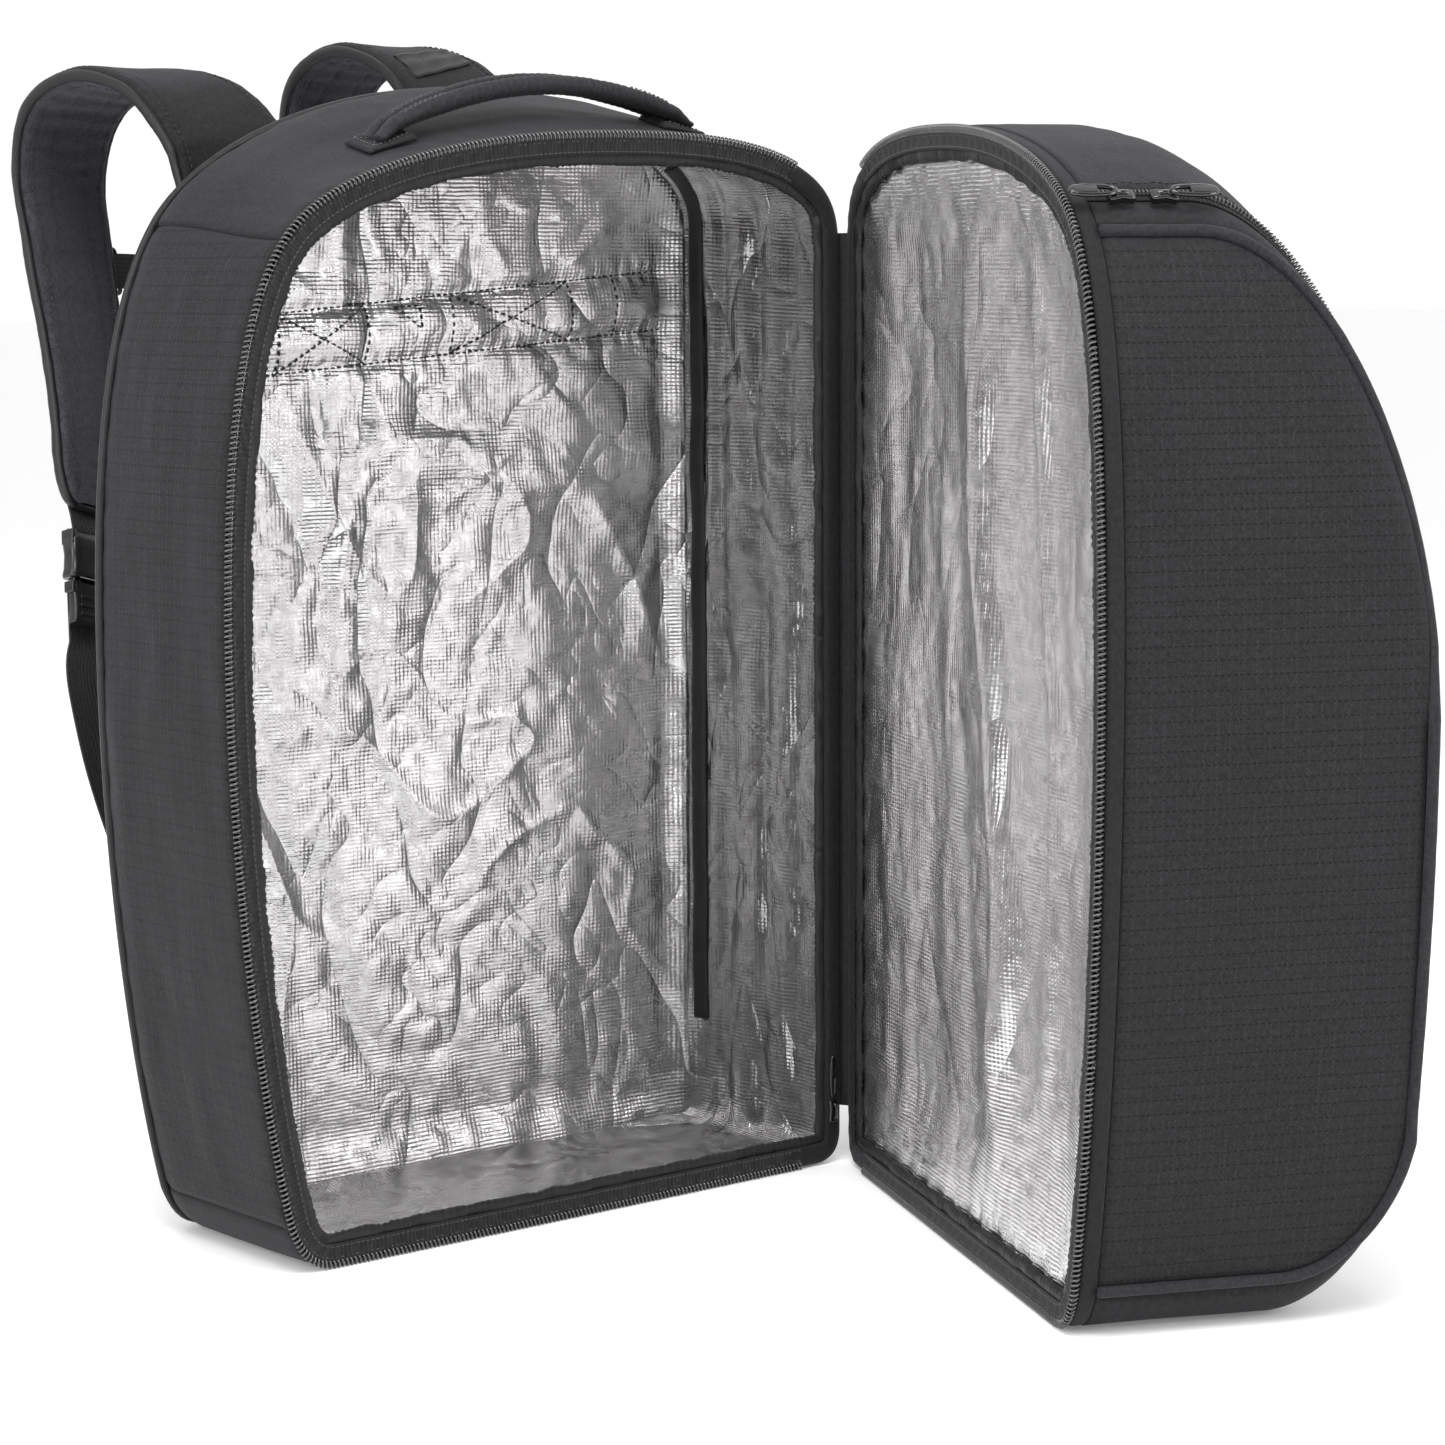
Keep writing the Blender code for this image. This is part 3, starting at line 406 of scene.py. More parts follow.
def mesh_foam(name, tone=1.0):
    m = Mat(name)
    vec, u, v = m.uv()
    cells = m.vor(vec, 620, "DISTANCE_TO_EDGE")
    holes = m.remap(cells, 0.02, 0.16, 1, 0)
    n = m.noise(vec, 300, 3, 0.7)
    base = m.mix(m.math("MULTIPLY", m.remap(n, 0.25, 0.75, 0, 1), 0.8), (0.014 * tone, 0.0135 * tone, 0.016 * tone), (0.060 * tone, 0.058 * tone, 0.067 * tone))
    base = m.mix(m.math("MULTIPLY", holes, 0.35), base, (0.085 * tone, 0.082 * tone, 0.095 * tone))
    return m.set(base, 0.88, 0.0, m.bump(m.math("ADD", holes, n), 0.5, 0.0004), 0.15, 0.6, 0.15, tint=(0.6, 0.58, 0.66))


def hard(name, base, rough, bump=0.15, scale=500, metal=0.0, coat=0.0, spec=0.5):
    m = Mat(name)
    vec = m.coords()
    n = m.noise(vec, scale, 4, 0.6)
    wear = m.noise(vec, 130, 5, 0.7)
    col = m.mix(m.remap(wear, 0.55, 0.8, 0, 1), base, tuple(min(1, c * 1.9 + 0.004) for c in base))
    return m.set(col, m.remap(wear, 0.3, 0.75, rough * 0.8, rough * 1.3), metal, m.bump(n, bump, 0.0002), spec=spec, coat=coat)


def thread(name, base=(0.010, 0.010, 0.011)):
    m = Mat(name)
    vec = m.coords()
    n = m.noise(vec, 2600, 2, 0.6)
    return m.set(m.mix(m.remap(n, 0.3, 0.7, 0, 1), tuple(c * 0.6 for c in base), tuple(c * 2.2 for c in base)), 0.55, 0.0, m.bump(n, 0.6, 0.0001), 0.2, 0.4)


M_RIP = ripstop("ripstop", tone=0.72)
M_TWILL = ripstop("twill", grid=False, tone=0.86)
M_TWILL2 = ripstop("twill_dark", grid=False, tone=0.62)
M_TUBE = ripstop("handle_twill", grid=False, tone=1.15, diag=1.6)
# Three copies of the same foil at different brightness, as painted light: the walls darker as painted shade, the door
# panel lighter as painted light.
M_FOIL = foil("foil_lining", 0.80, 0.85)
M_FOIL_WALL_SHADE = foil("foil_wall_painted_shade", 0.44, 1.0)
M_FOIL_DOOR_LIT = foil("foil_door_painted_light", 1.04, 0.36)
M_SATIN = satin("binding_satin")
M_TAPE = webbing("zip_tape", 0.0011, 0.75)
M_WEB = webbing("webbing")
M_PIPE = satin("piping_satin", 1.5)
# The coil is black nylon. Its base colour is lifted to a dark grey as painted light so the beads read bright; the
# strong specular is the coil's own gloss.
M_COIL = hard("coil_nylon", (0.050, 0.050, 0.052), 0.22, 0.1, 900, spec=1.0)
M_MESH = mesh_foam("strap_mesh")
M_PLASTIC = hard("buckle_acetal", (0.013, 0.013, 0.0135), 0.30, 0.12, 900)
M_GLOSS = hard("enamel_black", (0.006, 0.006, 0.006), 0.12, 0.05, 300, coat=0.6)
M_THREAD = thread("thread_black")
M_THREAD2 = thread("thread_grey", (0.05, 0.05, 0.052))


# ---------------------------------------------------------------- mesh helpers
def put_uv(mesh, loops_uv):
    layer = mesh.uv_layers.new(name="metres")
    layer.data.foreach_set("uv", np.asarray(loops_uv, np.float32).ravel())


def build(name, verts, quads, uvs, mat, body, replaces=(), smooth=True, thick=0.0):
    """verts (n,3), quads (m,4) indices, uvs (m,4,2)."""
    mesh = bpy.data.meshes.new(name)
    verts = np.asarray(verts, np.float32)
    quads = np.asarray(quads, np.int32)
    mesh.vertices.add(len(verts))
    mesh.vertices.foreach_set("co", verts.ravel())
    mesh.loops.add(quads.size)
    mesh.loops.foreach_set("vertex_index", quads.ravel())
    mesh.polygons.add(len(quads))
    mesh.polygons.foreach_set("loop_start", np.arange(0, quads.size, quads.shape[1], dtype=np.int32))
    mesh.update(calc_edges=True)
    if uvs is not None:
        put_uv(mesh, uvs)
    mesh.materials.append(mat)
    mesh.polygons.foreach_set("use_smooth", np.full(len(quads), smooth))
    mesh.validate()
    obj = bpy.data.objects.new(name, mesh)
    scene.collection.objects.link(obj)
    if thick:
        mod = obj.modifiers.new("thickness", "SOLIDIFY")
        mod.thickness = thick
        mod.offset = -1
        mod.use_rim = True
        mod.use_even_offset = False
    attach(obj, body)
    if replaces:
        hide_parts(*replaces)
    return obj


def grid(name, P, U, V, mat, body, replaces=(), ref=None, out=True, closed_u=False, closed_v=False, thick=0.0, slot=None):
    """Grid of quads. U, V give metres for the weave. ref: a point the faces look away from (or towards, out=False)."""
    P = np.asarray(P, float)
    nu, nv = P.shape[:2]
    U = np.broadcast_to(U, (nu, nv))
    V = np.broadcast_to(V, (nu, nv))
    iu, iv = nu, nv
    if closed_u:
        iu = nu - 1
    if closed_v:
        iv = nv - 1
    pts = P[:iu, :iv].reshape(-1, 3)
    a = np.arange(nu - 1)[:, None]
    b = np.arange(nv - 1)[None, :]

    def idx(i, j):
        return (i % iu) * iv + (j % iv)
    quads = np.stack([idx(a, b), idx(a + 1, b), idx(a + 1, b + 1), idx(a, b + 1)], -1).reshape(-1, 4)
    uv = np.stack([U, V], -1)
    uvs = np.stack([uv[:-1, :-1], uv[1:, :-1], uv[1:, 1:], uv[:-1, 1:]], 2).reshape(-1, 4, 2)
    if ref is not None:
        q = pts[quads]
        nrm = np.cross(q[:, 2] - q[:, 0], q[:, 3] - q[:, 1])
        s = np.sum(nrm * (q.mean(1) - np.asarray(ref)))
        if (s < 0) == out:
            quads = quads[:, ::-1]
            uvs = uvs[:, ::-1]
    return build(name, pts, quads, uvs, mat, body, replaces, thick=thick)


def frames(path, side):
    tang = np.gradient(path, axis=0)
    tang /= np.linalg.norm(tang, axis=1)[:, None]
    side = np.broadcast_to(np.asarray(side, float), path.shape)
    side = side - tang * np.sum(side * tang, 1)[:, None]
    side /= np.linalg.norm(side, axis=1)[:, None]
    return tang, side, np.cross(tang, side)


def sweep(name, path, side, sect, mat, body, replaces=(), caps=True, slot=None, closed=False):
    """sect (m,2) or (n,m,2): offsets along side and normal. Closed ring of points at each station."""
    path = np.asarray(path, float)
    tang, s, n = frames(path, side)
    sect = np.asarray(sect, float)
    if sect.ndim == 2:
        sect = np.broadcast_to(sect, (len(path),) + sect.shape)
    sect = np.concatenate([sect, sect[:, :1]], 1)
    P = path[:, None] + s[:, None] * sect[..., :1] + n[:, None] * sect[..., 1:]
    run = np.concatenate([[0], np.cumsum(np.linalg.norm(np.diff(path, axis=0), axis=1))])
    around = np.concatenate([np.zeros((len(path), 1)), np.cumsum(np.linalg.norm(np.diff(sect, axis=1), axis=2), 1)], 1)
    nu, nv = P.shape[:2]
    obj = grid(name, P, run[:, None], around, mat, body, replaces, closed_v=True, closed_u=closed, slot=slot)
    bm = bmesh.new()
    bm.from_mesh(obj.data)
    if caps and not closed:
        bmesh.ops.holes_fill(bm, edges=[e for e in bm.edges if e.is_boundary], sides=0)
    bmesh.ops.recalc_face_normals(bm, faces=bm.faces)
    bm.to_mesh(obj.data)
    bm.free()
    return obj


def circle(r, m=8, ry=None):
    a = np.linspace(0, 2 * math.pi, m, endpoint=False)
    return np.stack([r * np.cos(a), (ry or r) * np.sin(a)], 1)


def spline(points, n):
    pts = np.asarray(points, float)
    ext = np.vstack([2 * pts[0] - pts[1], pts, 2 * pts[-1] - pts[-2]])
    out = []
    for i in range(1, len(ext) - 2):
        p0, p1, p2, p3 = ext[i - 1:i + 3]
        for t in np.linspace(0, 1, 40, endpoint=False):
            out.append(0.5 * (2 * p1 + (p2 - p0) * t + (2 * p0 - 5 * p1 + 4 * p2 - p3) * t * t + (3 * p1 - p0 - 3 * p2 + p3) * t ** 3))
    out.append(pts[-1])
    return resample(np.array(out), n)


def resample(path, n):
    path = np.asarray(path, float)
    s = np.concatenate([[0], np.cumsum(np.linalg.norm(np.diff(path, axis=0), axis=1))])
    at = np.linspace(0, s[-1], n)
    return np.stack([np.interp(at, s, path[:, k]) for k in range(3)], 1)


def length_of(path):
    return float(np.linalg.norm(np.diff(np.asarray(path), axis=0), axis=1).sum())


def stitches(name, runs, body, mat=None, pitch=0.0034, dash=0.0025, r=0.00032):
    """runs: list of (path, normal). Small threads lying along each path."""
    verts, faces = [], []
    for path, normal in runs:
        L = length_of(path)
        if L < pitch * 2:
            continue
        n = max(2, int(L / pitch))
        fine = resample(path, n * 4 + 1)
        nrm = np.broadcast_to(np.asarray(normal, float), np.asarray(path).shape)
        at = np.linspace(0, 1, n * 4 + 1)
        src = np.linspace(0, 1, len(nrm))
        nf = np.stack([np.interp(at, src, nrm[:, k]) for k in range(3)], 1)
        for i in range(n):
            c = fine[i * 4 + 2]
            t = fine[min(i * 4 + 4, n * 4)] - fine[i * 4]
            t /= np.linalg.norm(t)
            up = nf[i * 4 + 2]
            up = up - t * np.dot(up, t)
            up /= np.linalg.norm(up)
            s = np.cross(t, up)
            base = len(verts)
            h = dash / 2
            verts.append(c - t * h - up * r * 0.8)
            for f in (-0.6, 0.6):
                for ang in (0, 1.2566, 2.5133, 3.7699, 5.0265):
                    verts.append(c + t * h * f + s * r * math.cos(ang) + up * (r * math.sin(ang) + r * 0.5))
            verts.append(c + t * h - up * r * 0.8)
            for k in range(5):
                j = (k + 1) % 5
                faces.append((base, base + 1 + j, base + 1 + k, base + 1 + k))
                faces.append((base + 1 + k, base + 1 + j, base + 6 + j, base + 6 + k))
                faces.append((base + 11, base + 6 + k, base + 6 + j, base + 6 + j))
    mesh = bpy.data.meshes.new(name)
    mesh.from_pydata([tuple(v) for v in verts], [], [f if len(set(f)) == 4 else tuple(dict.fromkeys(f)) for f in faces])
    mesh.materials.append(mat or M_THREAD)
    mesh.polygons.foreach_set("use_smooth", np.ones(len(mesh.polygons), bool))
    obj = bpy.data.objects.new(name, mesh)
    scene.collection.objects.link(obj)
    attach(obj, body)
    return obj


MAIN_REF = np.array([-0.02, 0.0, 0.27])
DOOR_REF = HINGE + DE * 0.18 + DN * 0.08 + ZUP * 0.27
RES = 1


# ================================================================ MAIN BODY
def seam_roll(q, roll=0.0012, width=0.006):
    """How far a panel dips towards its seams. q: metres to the nearest seam."""
    return roll * np.exp(-(np.asarray(q) / (width * 0.45)) ** 2)


def arc(T, inset=0.0):
    w, z, nw, nz = outline(T, inset)
    return np.concatenate([[0], np.cumsum(np.hypot(np.diff(w), np.diff(z)))])


def seg_between(t0, t1, step=0.0035):
    n = max(3, int((t1 - t0) * LENGTH / (step * RES)) + 1)
    return np.linspace(t0, t1, n)


def main_band(name, t0, t1, y0, y1, mat, replaces, wrinkle, seed, gap=0.0001, step=0.0035, puff=0.0):
    T = seg_between(t0 + gap / LENGTH, t1 - gap / LENGTH, step)
    Y = np.linspace(y0, y1, int((y1 - y0) / (0.003 * RES)) + 2)
    S = arc(T)[:, None]
    V = (Y - y0)[None, :]
    d_seam = np.minimum(np.minimum(S, S[-1] - S), np.minimum(V, (y1 - y0) - V) + 0 * S)
    amp = sstep(d_seam, 0.0, 0.03)
    folds = wrinkle * (0.6 * fbm(S * 9 + seed, V * 26, seed, 3) + 0.4 * fbm(S * 30, V * 9 + S * 14, seed + 5, 3))
    pucker = 0.0007 * np.sin(S * 2 * math.pi / 0.017 + 3 * fbm(S * 18, V * 0, seed + 9)) * np.exp(-V / 0.012) * sstep(V, 0, 0.002)
    pucker = pucker + 0.0006 * np.sin(S * 2 * math.pi / 0.021 + 4 * fbm(S * 15, V * 0, seed + 11)) * np.exp(-((y1 - y0) - V) / 0.012)
    out = folds * amp - seam_roll(d_seam) + pucker * sstep(d_seam, 0, 0.004) + puff * np.sin(np.pi * V / (y1 - y0)) * sstep(d_seam, 0, 0.04)
    P = main_P(T[:, None], Y[None, :], -out)
    up_uv = P[..., 2] if mat is M_RIP else S
    return grid(name, P, V, up_uv, mat, "main_body", replaces, MAIN_REF, thick=0.0019)


main_band("shell_side_left", T_BL, T_TL, 0.0042, 0.1285, M_RIP, ("left_side_panel",), 0.0032, 3, puff=0.0)
main_band("shell_top", T_TL, T_TR, 0.0042, 0.1285, M_TWILL, ("top_panel",), 0.0030, 11)
main_band("shell_side_hinge", T_TR, T_BR, 0.0042, 0.1285, M_RIP, ("right_side_panel",), 0.0022, 23)
main_band("shell_floor", T_BR - 1, T_BL, 0.0042, 0.1285, M_TWILL, ("bottom_panel",), 0.0008, 31)

# back panel: one cap over the outline, rows shrinking to the middle
RING = np.unique(np.concatenate([np.linspace(0, 1, 330 // RES), [T_BL, T_TL, T_TR, T_BR]]))


def cap(name, ring, centre, levels, mat, body, replaces, bulge=None, ref=None, out=True, thick=0.0, plane=None, slot=None, uvfn=None):
    """ring (n,3) closed (first == last); rows from ring to centre."""
    lev = np.asarray(levels)[None, :, None]
    P = ring[:, None, :] * (1 - lev) + centre * lev
    if bulge is not None:
        P = bulge(P, np.asarray(levels))
    U, V = uvfn(P)
    return grid(name, P, U, V, mat, body, replaces, ref, out, closed_u=True, thick=thick, slot=slot)


ring = main_P(RING, 0.1295)
mid = np.array([HINGE_X - 0.186, HINGE_Y + 0.1295, 0.27])


def back_shape(P, lev):
    q = 1 - (1 - lev[None, :]) ** 2.2
    x, z = P[..., 0], P[..., 2]
    d = np.sqrt(np.clip(q, 0, 1))
    quilt = 0.0011 * np.abs(np.sin((x + z * 0.6) * math.pi / 0.052)) ** 0.35 + 0.0011 * np.abs(np.sin((x - z * 0.6) * math.pi / 0.052)) ** 0.35
    P = P.copy()
    P[..., 1] += 0.0105 * d + (quilt - 0.0017) * sstep(lev[None, :], 0.12, 0.22) + 0.0012 * fbm(x * 22, z * 22, 7)
    return P


LEV = np.concatenate([np.linspace(0, 0.25, 22 // RES), np.linspace(0.25, 1, 60 // RES)[1:]])
cap("back_pad", ring, mid, LEV, M_MESH, "main_body", ("back_panel",), back_shape, MAIN_REF, True, 0.0016, uvfn=lambda P: (P[..., 0], P[..., 2]))

# welt round the back seam
T = np.linspace(0, 1, 420 // RES)
welt = main_P(T, 0.1185, -0.0012)
sweep("back_welt", welt[:-1], main_P(T, 0.1185, -0.004)[:-1] - welt[:-1], circle(0.0023, 8), M_PIPE, "main_body", ("back_seam_piping",), closed=True, caps=False)


# ---------------------------------------------------------------- lining: sides and back in one bowl
def lin_P(T, Y, inset=0.0):
    return main_P(T, Y, 0.0042 + inset)


def smooth_noise_lines(S, Y, seed):
    return fbm(S * 14, Y * 30, seed, 4)


TL = np.linspace(0, 1, 470 // RES)
YL = np.concatenate([np.linspace(0.0040, 0.0125, 5), np.linspace(0.0125, 0.1195, 42 // RES)[1:]])
SL = arc(TL)[:, None]
wo, zo, nwo, nzo = outline(TL)
floor_w = np.clip(-nzo, 0, 1)[:, None]
wall_r = np.clip(-nwo, 0, 1)[:, None]
relief = 0.0018 * fbm(SL * 13, YL[None] * 24 + SL * 3, 41, 4) + 0.0022 * np.abs(fbm(SL * 7 + YL[None] * 12, YL[None] * 9 - SL * 5, 43, 3))
relief = relief * sstep(YL[None], 0.006, 0.03) * (1 - 0.6 * floor_w)
# gathered wall by the hinge: vertical folds
relief = relief + wall_r * sstep(YL[None], 0.01, 0.04) * (0.0036 * np.abs(np.sin(YL[None] * 2 * math.pi / 0.060 + 2.2 * fbm(SL * 6, YL[None] * 4, 47))) - 0.0012)
relief = relief * (1 - wall_r * np.exp(-((YL[None] - 0.1120) / 0.0065) ** 2))
relief = np.clip(relief, -0.0004, 0.008)
P = lin_P(TL[:, None], YL[None], relief)
# The walls use the foil darkened as painted shade.
grid("lining_wall", P, np.broadcast_to(YL[None], relief.shape), np.broadcast_to(SL, relief.shape), M_FOIL_WALL_SHADE, "main_body",
     ("lining_left", "lining_top", "lining_right", "lining_floor"), MAIN_REF, False, closed_u=True, thick=0.0)

# lining back: grid in x, z clipped to the outline by the ring cap
ringL = P[:, -1]
midL = np.array([HINGE_X - 0.186, HINGE_Y + 0.1258, 0.27])

# two stitched quilting rows (x, z) on the lining back, read off the picture
ROWS = [((-0.1500, 0.4560), (0.1659, 0.4818)), ((-0.1500, 0.4255), (0.1658, 0.4497))]
VERT = [-0.0435, 0.0105, 0.089, 0.120]


def row_z(k, x):
    (x0, z0), (x1, z1) = ROWS[k]
    return z0 + (z1 - z0) * (x - x0) / (x1 - x0)


def lining_relief(x, z):
    """Metres towards the front (-y)."""
    f = 0.0036 * np.abs(fbm(x * 9 + z * 7, z * 11 - x * 3, 53, 3)) + 0.0020 * np.abs(fbm(x * 26 + z * 10, z * 24, 59, 3))
    def ridge(px, pz, sd):
        return 1 - np.abs(fbm(px, pz, sd, 2)) * 2.2
    low = 1 - sstep(z, 0.36, 0.43)
    f += 0.0034 * np.clip(ridge(x * 10 + z * 4, z * 4.5 - x * 2, 57), 0, 1) ** 3 * (0.35 + 0.65 * low)
    f += 0.0022 * np.clip(ridge(x * 7 - z * 12, z * 9 + x * 10, 63), 0, 1) ** 4 * sstep(fbm(x * 5, z * 5, 64), -0.1, 0.35)
    band_mid = np.exp(-((z - (row_z(0, x) + row_z(1, x)) / 2) / 0.0105) ** 2)
    f += (0.0024 + 0.0012 * fbm(x * 45, z * 20, 66)) * band_mid
    f += 0.0030 * np.clip(ridge(x * 6 + 2, z * 16 - x * 6, 67), 0, 1) ** 3 * sstep(z, row_z(0, x) + 0.004, row_z(0, x) + 0.016)
    for k in (0, 1):
        d = np.abs(z - row_z(k, x))
        f = f * (1 - 0.85 * np.exp(-(d / 0.004) ** 2)) - 0.0004 * np.exp(-(d / 0.0015) ** 2)
        f += 0.0006 * np.sin(x * 2 * math.pi / 0.0085 + 3 * vnoise(x * 30, z * 0, 8)) * np.exp(-(d / 0.006) ** 2) * sstep(d, 0.0, 0.002)
    band = (z < row_z(0, x)) & (z > row_z(1, x))
    for v in VERT:
        d = np.abs(x - v)
        f = f - 0.0006 * np.exp(-(d / 0.0018) ** 2) * band
    return f


def back_lining(P, lev):
    x, z = P[..., 0], P[..., 2]
    P = P.copy()
    q = sstep(lev[None, :], 0.0, 0.10)
    flat = HINGE_Y + 0.1258
    P[..., 1] = P[0, 0, 1] * 0 + ringL[:, None, 1] * (1 - q) + flat * q - lining_relief(x, z) * sstep(lev[None, :], 0.02, 0.16)
    return P


LEV2 = np.concatenate([np.linspace(0, 0.12, 14 // RES), np.linspace(0.12, 1, 150 // RES)[1:]])
cap("lining_rear", ringL, midL, LEV2, M_FOIL, "main_body", ("lining_back",), back_lining, MAIN_REF, False, uvfn=lambda P: (P[..., 0], P[..., 2]))


def on_back(x, z, lift=0.0003):
    x, z = np.asarray(x, float), np.asarray(z, float)
    return np.stack([x, HINGE_Y + 0.1258 - lining_relief(x, z) - lift + 0 * x, z], -1)


front = np.array([0.0, -1.0, 0.0])
runs = []
for k in (0, 1):
    x = np.linspace(-0.138, 0.158, 200)
    runs.append((on_back(x, row_z(k, x)), front))
for v in VERT:
    z = np.linspace(row_z(1, v) + 0.001, row_z(0, v) - 0.001, 24)
    runs.append((on_back(v + 0 * z, z), front))
for a, b in ((-0.100, -0.0435), (0.0105, 0.089)):
    for p, q in (((a, 1), (b, 0)), ((a, 0), (b, 1))):
        t = np.linspace(0, 1, 40)
        x = p[0] + (q[0] - p[0]) * t
        z = row_z(p[1], p[0]) * (1 - t) + row_z(q[1], q[0]) * t
        runs.append((on_back(x, z), front))
z = np.linspace(row_z(1, -0.100) + 0.001, row_z(0, -0.100) - 0.001, 24)
runs.append((on_back(-0.100 + 0 * z, z), front))
tri = np.array([(-0.026, 0.467), (-0.010, 0.4675), (-0.010, 0.4555), (-0.026, 0.467)])
tri[:, 1] -= 0.004
for p, q in zip(tri[:-1], tri[1:]):
    t = np.linspace(0, 1, 8)[:, None]
    xz = p * (1 - t) + q * t
    runs.append((on_back(xz[:, 0], xz[:, 1]), front))
stitches("lining_stitch", runs, "main_body", M_THREAD, 0.0040, 0.0030, 0.00050)

# ribbon sewn over the back corner by the hinge wall, and along the top wall's seam
TR_ = np.linspace(T_TR - 0.012 / LENGTH, T_BR - 0.045 / LENGTH, 260 // RES)
SR_ = arc(TR_)[:, None]
a = np.linspace(0, 2 * math.pi, 13)
gather = 0.5 + 0.5 * fbm(SR_ * 90, np.cos(a)[None], 61)
P = lin_P(TR_[:, None], 0.1120 + 0.0044 * np.cos(a)[None] * (1 + 0.10 * gather) + 0.0006 * vnoise(SR_ * 30, 0 * SR_, 62), 0.0014 + (0.0011 + 0.0005 * gather) * np.sin(a)[None])
ribbon = grid("corner_ribbon", P, (a * 0.002)[None] + 0 * SR_, SR_ + 0 * a[None], M_SATIN, "main_body", (), MAIN_REF, True, closed_v=True, slot="black_trim")
bm = bmesh.new()
bm.from_mesh(ribbon.data)
bmesh.ops.holes_fill(bm, edges=[e for e in bm.edges if e.is_boundary], sides=0)
bmesh.ops.recalc_face_normals(bm, faces=bm.faces)
bm.to_mesh(ribbon.data)
bm.free()


# ================================================================ EDGES: coil, tape, binding
def coil(name, line, normal, body, replaces, pitch=0.0025, r=0.00190, wire=0.00058, flat=0.90, closed=False, seed=0, second=None):
    """A nylon coil wound along the line: one fused strand per turn."""
    L = length_of(line)
    turns = int(L / pitch)
    per = 8
    n = turns * per + 1
    path = resample(line, n)
    nrm_src = np.asarray(normal, float)
    at, src = np.linspace(0, 1, n), np.linspace(0, 1, len(nrm_src))
    nrm = np.stack([np.interp(at, src, nrm_src[:, k]) for k in range(3)], 1)
    tang, up, side = frames(path, nrm)
    ang = np.linspace(0, 2 * math.pi * turns, n)
    helix = path + up * (np.cos(ang) * r)[:, None] + side * (np.sin(ang) * r * flat)[:, None]
    if closed:
        helix = helix[:-1]
    hub = path if not closed else path[:-1]
    radial = helix - hub
    return sweep(name, helix, radial, circle(wire, 5), M_COIL, body, replaces, caps=not closed, closed=closed, slot="zip_coil")


def ring_line(P_fn, T, depth, inset):
    return P_fn(T, depth, inset)


TZ = np.linspace(Z0, Z1, 700)
if Z1 < Z0:
    TZ = np.linspace(Z0, Z1 + 1, 700)
main_coil_line = main_P(TZ, 0.0020, 0.0017)
main_coil_line = main_coil_line + front * 0.0001
coil("main_coil", main_coil_line, main_P(TZ, 0.0020, -0.004) - main_coil_line, "main_body", ("main_zip_coil",))
door_coil_line = door_P(TZ, 0.0020, 0.0017)
door_coil_line = door_coil_line - DN * 0.0001
coil("door_coil", door_coil_line, door_P(TZ, 0.0020, -0.004) - door_coil_line, "door", ("door_zip_coil",))


def band(name, P_fn, T, rows, mat, body, replaces, ref, out, ruffle=0.0, seed=0, thick=0.0, closed=True, slot=None):
    """rows: list of (depth, inset). A strip following the outline."""
    rows = np.asarray(rows, float)
    S = arc(T)[:, None]
    D = rows[None, :, 0] + 0 * S
    I = rows[None, :, 1] + 0 * S
    k = np.linspace(0, 1, len(rows))[None]
    if ruffle:
        wave = np.sin(S * 2 * math.pi / 0.0105 + 5 * fbm(S * 22, k * 0.7, seed)) * 0.6 + 0.6 * fbm(S * 75, k * 2, seed + 2)
        D = D + ruffle * wave * np.sin(np.pi * k)
        I = I + ruffle * 0.6 * fbm(S * 90, k * 3, seed + 4) * np.sin(np.pi * k)
    P = P_fn(T[:, None], D, I)
    across = np.concatenate([[0], np.cumsum(np.hypot(np.diff(rows[:, 0]), np.diff(rows[:, 1])))])[None]
    return grid(name, P, across + 0 * S, S + 0 * across, mat, body, replaces, ref, out, closed_u=closed, thick=thick, slot=slot)


TF = np.linspace(0, 1, 900 // RES)
TZ2 = np.linspace(TZ[0], TZ[-1], 760 // RES)


def tape_rows(n=9):
    k = np.linspace(0, 1, n)
    return np.stack([0.0010 + 0.0012 * np.sin(k * math.pi) ** 2 * 0.3 + 0.0009 * k, 0.0030 + 0.0086 * k], 1)


for who, fn, ref, body, names in (("main", main_P, MAIN_REF, "main_body", ("main_zip_tape",)), ("door", door_P, DOOR_REF, "door", ("door_zip_tape",))):
    S = tape_rows()
    front_ref = (np.array([0, 10.0, 0.3]) if who == "main" else DOOR_REF + DN * 10)
    band(who + "_tape", fn, TZ2, S, M_TAPE, body, names, front_ref, True, 0.0005, 71, thick=0.0007, closed=False, slot="black_trim")
    # row of stitches along the tape
    for off, tag in ((0.0048, "a"), (0.0102, "b")):
        line = fn(TZ, 0.0016, off)
        stitches(who + "_tape_stitch_" + tag, [(line, np.broadcast_to(front if who == "main" else -DN, line.shape))], body, M_THREAD2, 0.0030, 0.0021, 0.00026)
    # puckered binding: a rounded roll with gathers
    a = np.linspace(0, 2 * math.pi, 15)
    S = arc(TF)[:, None]
    gather = 0.5 * fbm(S * 95, np.cos(a)[None] * 0.8, 81, 2) + 0.5 * np.abs(np.sin(S * 2 * math.pi / 0.0078 + 4 * fbm(S * 25, 0 * S, 83)))
    ry, ri = 0.0021, 0.0037
    lobe = np.clip(np.sin(a), 0, 1)[None]
    D = 0.0046 + (ry * (1 + 0.85 * (gather - 0.45))) * np.cos(a)[None]
    I = 0.0131 + (ri * (1 + 0.12 * gather)) * np.sin(a)[None] + lobe * 0.0016 * (gather - 0.5)
    P = fn(TF[:, None], D, I)
    grid(who + "_edge_binding", P, (a * 0.003)[None] + 0 * S, S + 0 * a[None], M_SATIN, body, ((who + "_binding"),), fn(0.25, 0.0048, 0.0131) * 0 + (MAIN_REF if who == "main" else DOOR_REF), True, closed_u=True, closed_v=True, slot="black_trim")

